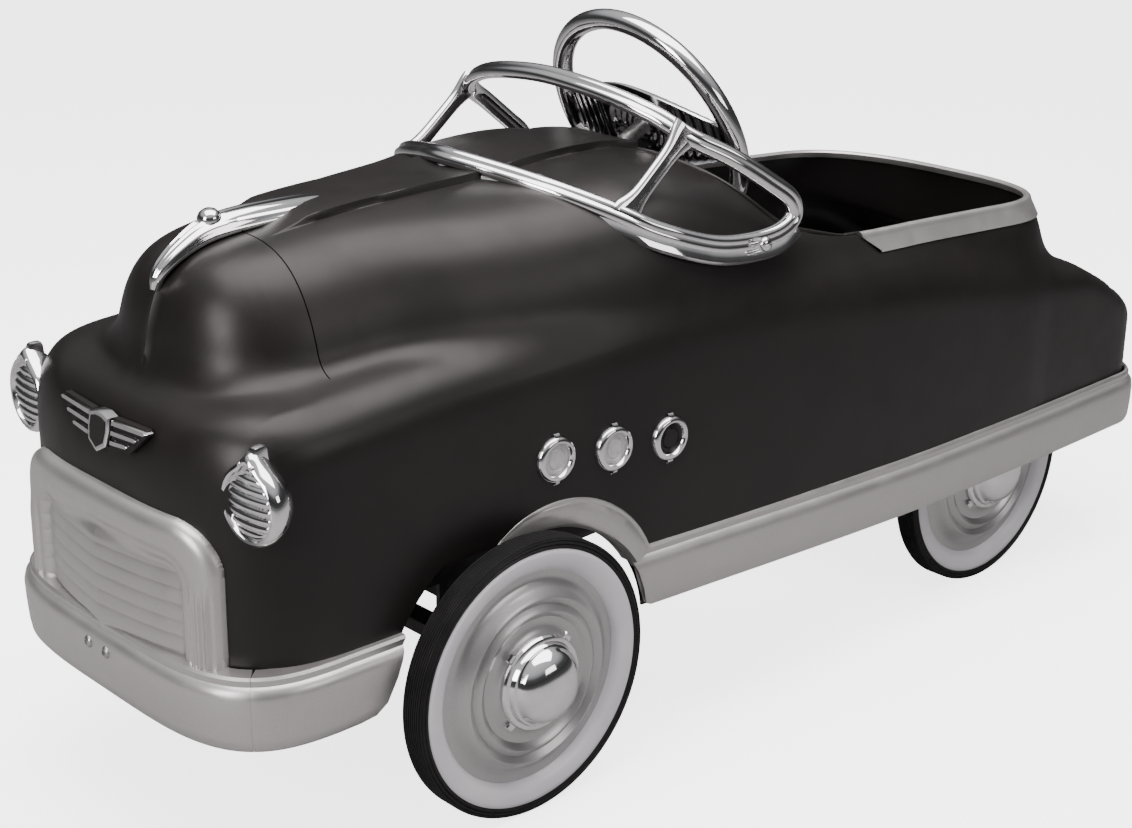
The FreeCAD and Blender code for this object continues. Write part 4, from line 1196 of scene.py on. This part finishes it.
bumper_middle, bumper_sides = make_bumper()
badge, badge_face = make_badge()
rings, discs, dark_discs = make_portholes()
for name, mesh, material, stands_for, sharp in (
        ("body_skin", make_body(), "body_black", ("body_shell", "nose_cap", "hood_ridge"), 50),
        ("rim_bead", make_rim_band(), "silver_paint", ("cockpit_rim_band",), 35),
        ("cowl_edge", make_cowl_edge(), "body_black", (), 35),
        ("rocker_bead", make_rocker(), "silver_paint", ("rocker_trim",), 35),
        ("bumper_face", bumper_middle, "silver_paint", ("front_bumper",), 35),
        ("bumper_wraps", bumper_sides, "silver_paint", ("bumper_ends",), 35),
        ("arch_bands", make_arch_bands(), "silver_paint", ("arch_trim",), 35),
        ("grille_face", make_grille(), "silver_paint", ("grille_panel",), 55),
        ("lamp_left", make_lamp(1), "chrome", ("headlight_left",), 35),
        ("lamp_right", make_lamp(-1), "chrome", ("headlight_right",), 35),
        ("badge_bright", badge, "chrome", ("nose_badge",), 35),
        ("badge_inlay", badge_face, "body_black", (), 35),
        ("ornament_wing", make_ornament(), "chrome", ("hood_ornament",), 35),
        ("screen_rails", make_screen(), "chrome", ("windshield_frame",), 35),
        ("screen_screw_heads", make_screen_screws(), "chrome", ("windshield_screws",), 35),
        ("steer_rim", make_wheel_rim(), "chrome", ("steering_rim",), 35),
        ("steer_plate", make_wheel_hub(), "chrome", ("steering_hub",), 35),
        ("steer_cap", make_hub_cap(), "chrome", ("steering_cap",), 35),
        ("port_rings", rings, "chrome", ("porthole_rings",), 35),
        ("port_discs", discs, "porthole_disc", ("porthole_discs",), 35),
        ("port_dark", dark_discs, "body_black", (), 35),
        ("bumper_bolt_heads", make_bumper_bolts(), "steel", ("bumper_bolts",), 35)):
    add_piece(name, mesh, material, "steering" if name.startswith("steer") else "chassis", stands_for, sharp)
cushion = add_piece("seat_cushion", make_seat_pad(), "seat_vinyl", "chassis", ("seat_pad",))
for corner in CORNERS:
    hub = Vector(joints["spin_" + corner]["pos_m"]) / MM
    side = 1 if corner.endswith("left") else -1
    low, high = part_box("tyre_" + corner)
    face = max(abs(low.y), abs(high.y)) / MM
    centre = (hub.x - AXLE_X / MM, side * face, TYRE_R)
    body = "wheel_" + corner
    for name, profile, finish, stands in (("tyre_tread_", tyre_profile(), "tyre", "tyre_"),
                                          ("wheel_disc_", DISC_PROFILE, "wheel_silver", "disc_"),
                                          ("whitewall_", WALL_PROFILE, "whitewall", None)):
        mesh = lathe(name + corner, profile, centre, (0, side, 0), 144)
        add_piece(name + corner, mesh, finish, body, (stands + corner,) if stands else ())
    add_piece("wheel_cap_" + corner, make_cap(centre, side), "chrome", body, ("hubcap_" + corner,))

# ---- camera, light and floor ---------------------------------------------------------
FRONT_AXLE = Vector(joints["spin_front_left"]["pos_m"])
CAMERA_FROM_AXLE = Vector((0.84403, 1.11205, 0.74693))
CAMERA_YAW, CAMERA_PITCH, CAMERA_ROLL = 0.82419, 0.34491, 0.01273
CAMERA_LENS = 65.81


def make_camera():
    back = Vector((math.cos(CAMERA_YAW) * math.cos(CAMERA_PITCH),
                   math.sin(CAMERA_YAW) * math.cos(CAMERA_PITCH), math.sin(CAMERA_PITCH)))
    right = (-back).cross(Vector((0, 0, 1))).normalized()
    up = right.cross(-back)
    c, s = math.cos(CAMERA_ROLL), math.sin(CAMERA_ROLL)
    right, up = c * right + s * up, c * up - s * right
    data = bpy.data.cameras.new("camera")
    data.lens = CAMERA_LENS
    data.sensor_width = 36.0
    camera = put("camera", data)
    place = Matrix((right, up, back)).transposed().to_4x4()
    place.translation = CAMERA_FROM_AXLE + Vector((FRONT_AXLE.x, 0, 0))
    camera.matrix_world = place
    bpy.context.scene.camera = camera


LIGHT_COLOUR = (1.0, 0.935, 0.93)
FLOOR_GLOW, WORLD_GLOW, WORLD_LIGHT = 3.2, 3.0, 0.8   # first two as the camera sees them
FLOOR_GAP = 0.0005


def make_light(name, location, target, size, power):
    data = bpy.data.lights.new(name, "AREA")
    data.shape = "RECTANGLE"
    data.size, data.size_y = size
    data.energy = power
    data.color = LIGHT_COLOUR
    lamp = put(name, data)
    lamp.location = location
    lamp.rotation_euler = (Vector(target) - Vector(location)).to_track_quat("-Z", "Y").to_euler()


def make_studio():
    make_light("overhead", (0.1, 0.2, 1.9), (0.0, 0.0, 0.2), (2.4, 1.5), 70)
    make_light("front_box", (2.1, 0.4, 1.0), (0.2, 0.0, 0.2), (0.7, 0.9), 24)
    make_light("side_box", (-0.5, 2.3, 1.15), (-0.1, 0.0, 0.2), (1.2, 0.6), 8)
    world = bpy.data.worlds.new("studio")
    bpy.context.scene.world = world
    world.use_nodes = True
    nodes_of, link = world.node_tree.nodes, world.node_tree.links.new
    sky = nodes_of["Background"]                    # what lights and reflects: grey bands by height
    sky.inputs["Strength"].default_value = WORLD_LIGHT
    split = nodes_of.new("ShaderNodeSeparateXYZ")
    link(nodes_of.new("ShaderNodeTexCoord").outputs["Generated"], split.inputs[0])
    height = nodes_of.new("ShaderNodeMapRange")
    height.inputs["From Min"].default_value = -1.0
    link(split.outputs["Z"], height.inputs["Value"])
    ramp = nodes_of.new("ShaderNodeValToRGB")
    bands = ramp.color_ramp.elements
    bands[0].position, bands[0].color = 0.0, (0.30, 0.30, 0.305, 1)
    bands[1].position, bands[1].color = 1.0, (0.95, 0.95, 0.96, 1)
    for at, grey in ((0.50, 0.10), (0.58, 0.05), (0.68, 0.10), (0.80, 0.62)):
        bands.new(at).color = (grey, grey, grey * 1.02, 1)
    link(height.outputs["Result"], ramp.inputs["Fac"])
    link(ramp.outputs["Color"], sky.inputs["Color"])
    seen = nodes_of.new("ShaderNodeBackground")     # what the camera sees: plain white
    seen.inputs["Color"].default_value = (1, 1, 1, 1)
    seen.inputs["Strength"].default_value = WORLD_GLOW
    mix = nodes_of.new("ShaderNodeMixShader")
    link(nodes_of.new("ShaderNodeLightPath").outputs["Is Camera Ray"], mix.inputs["Fac"])
    link(sky.outputs[0], mix.inputs[1])
    link(seen.outputs[0], mix.inputs[2])
    link(mix.outputs[0], nodes_of["World Output"].inputs["Surface"])


def make_floor():
    bm = bmesh.new()
    bmesh.ops.create_grid(bm, x_segments=8, y_segments=8, size=40.0)
    data = bpy.data.meshes.new("floor")
    bm.to_mesh(data)
    bm.free()
    floor = put("floor", data)
    floor.location.z = cad_low.z - FLOOR_GAP
    s = Shade("floor_white", (0.93, 0.93, 0.93), rough=0.7, specular=0.2)
    s.roughness(s.spread(s.noise(6.0, 3), 0.62, 0.78))
    s.set("Emission Color", (1, 1, 1, 1))
    seen = s.node("ShaderNodeLightPath").outputs["Is Camera Ray"]
    s.link(s.spread(seen, 0.0, FLOOR_GLOW, 0.0, 1.0), s.bsdf.inputs["Emission Strength"])
    s.colour(s.mix(seen, (0.30, 0.30, 0.30), (0.93, 0.93, 0.93)))
    data.materials.append(s.mat)


make_camera()
make_studio()
make_floor()
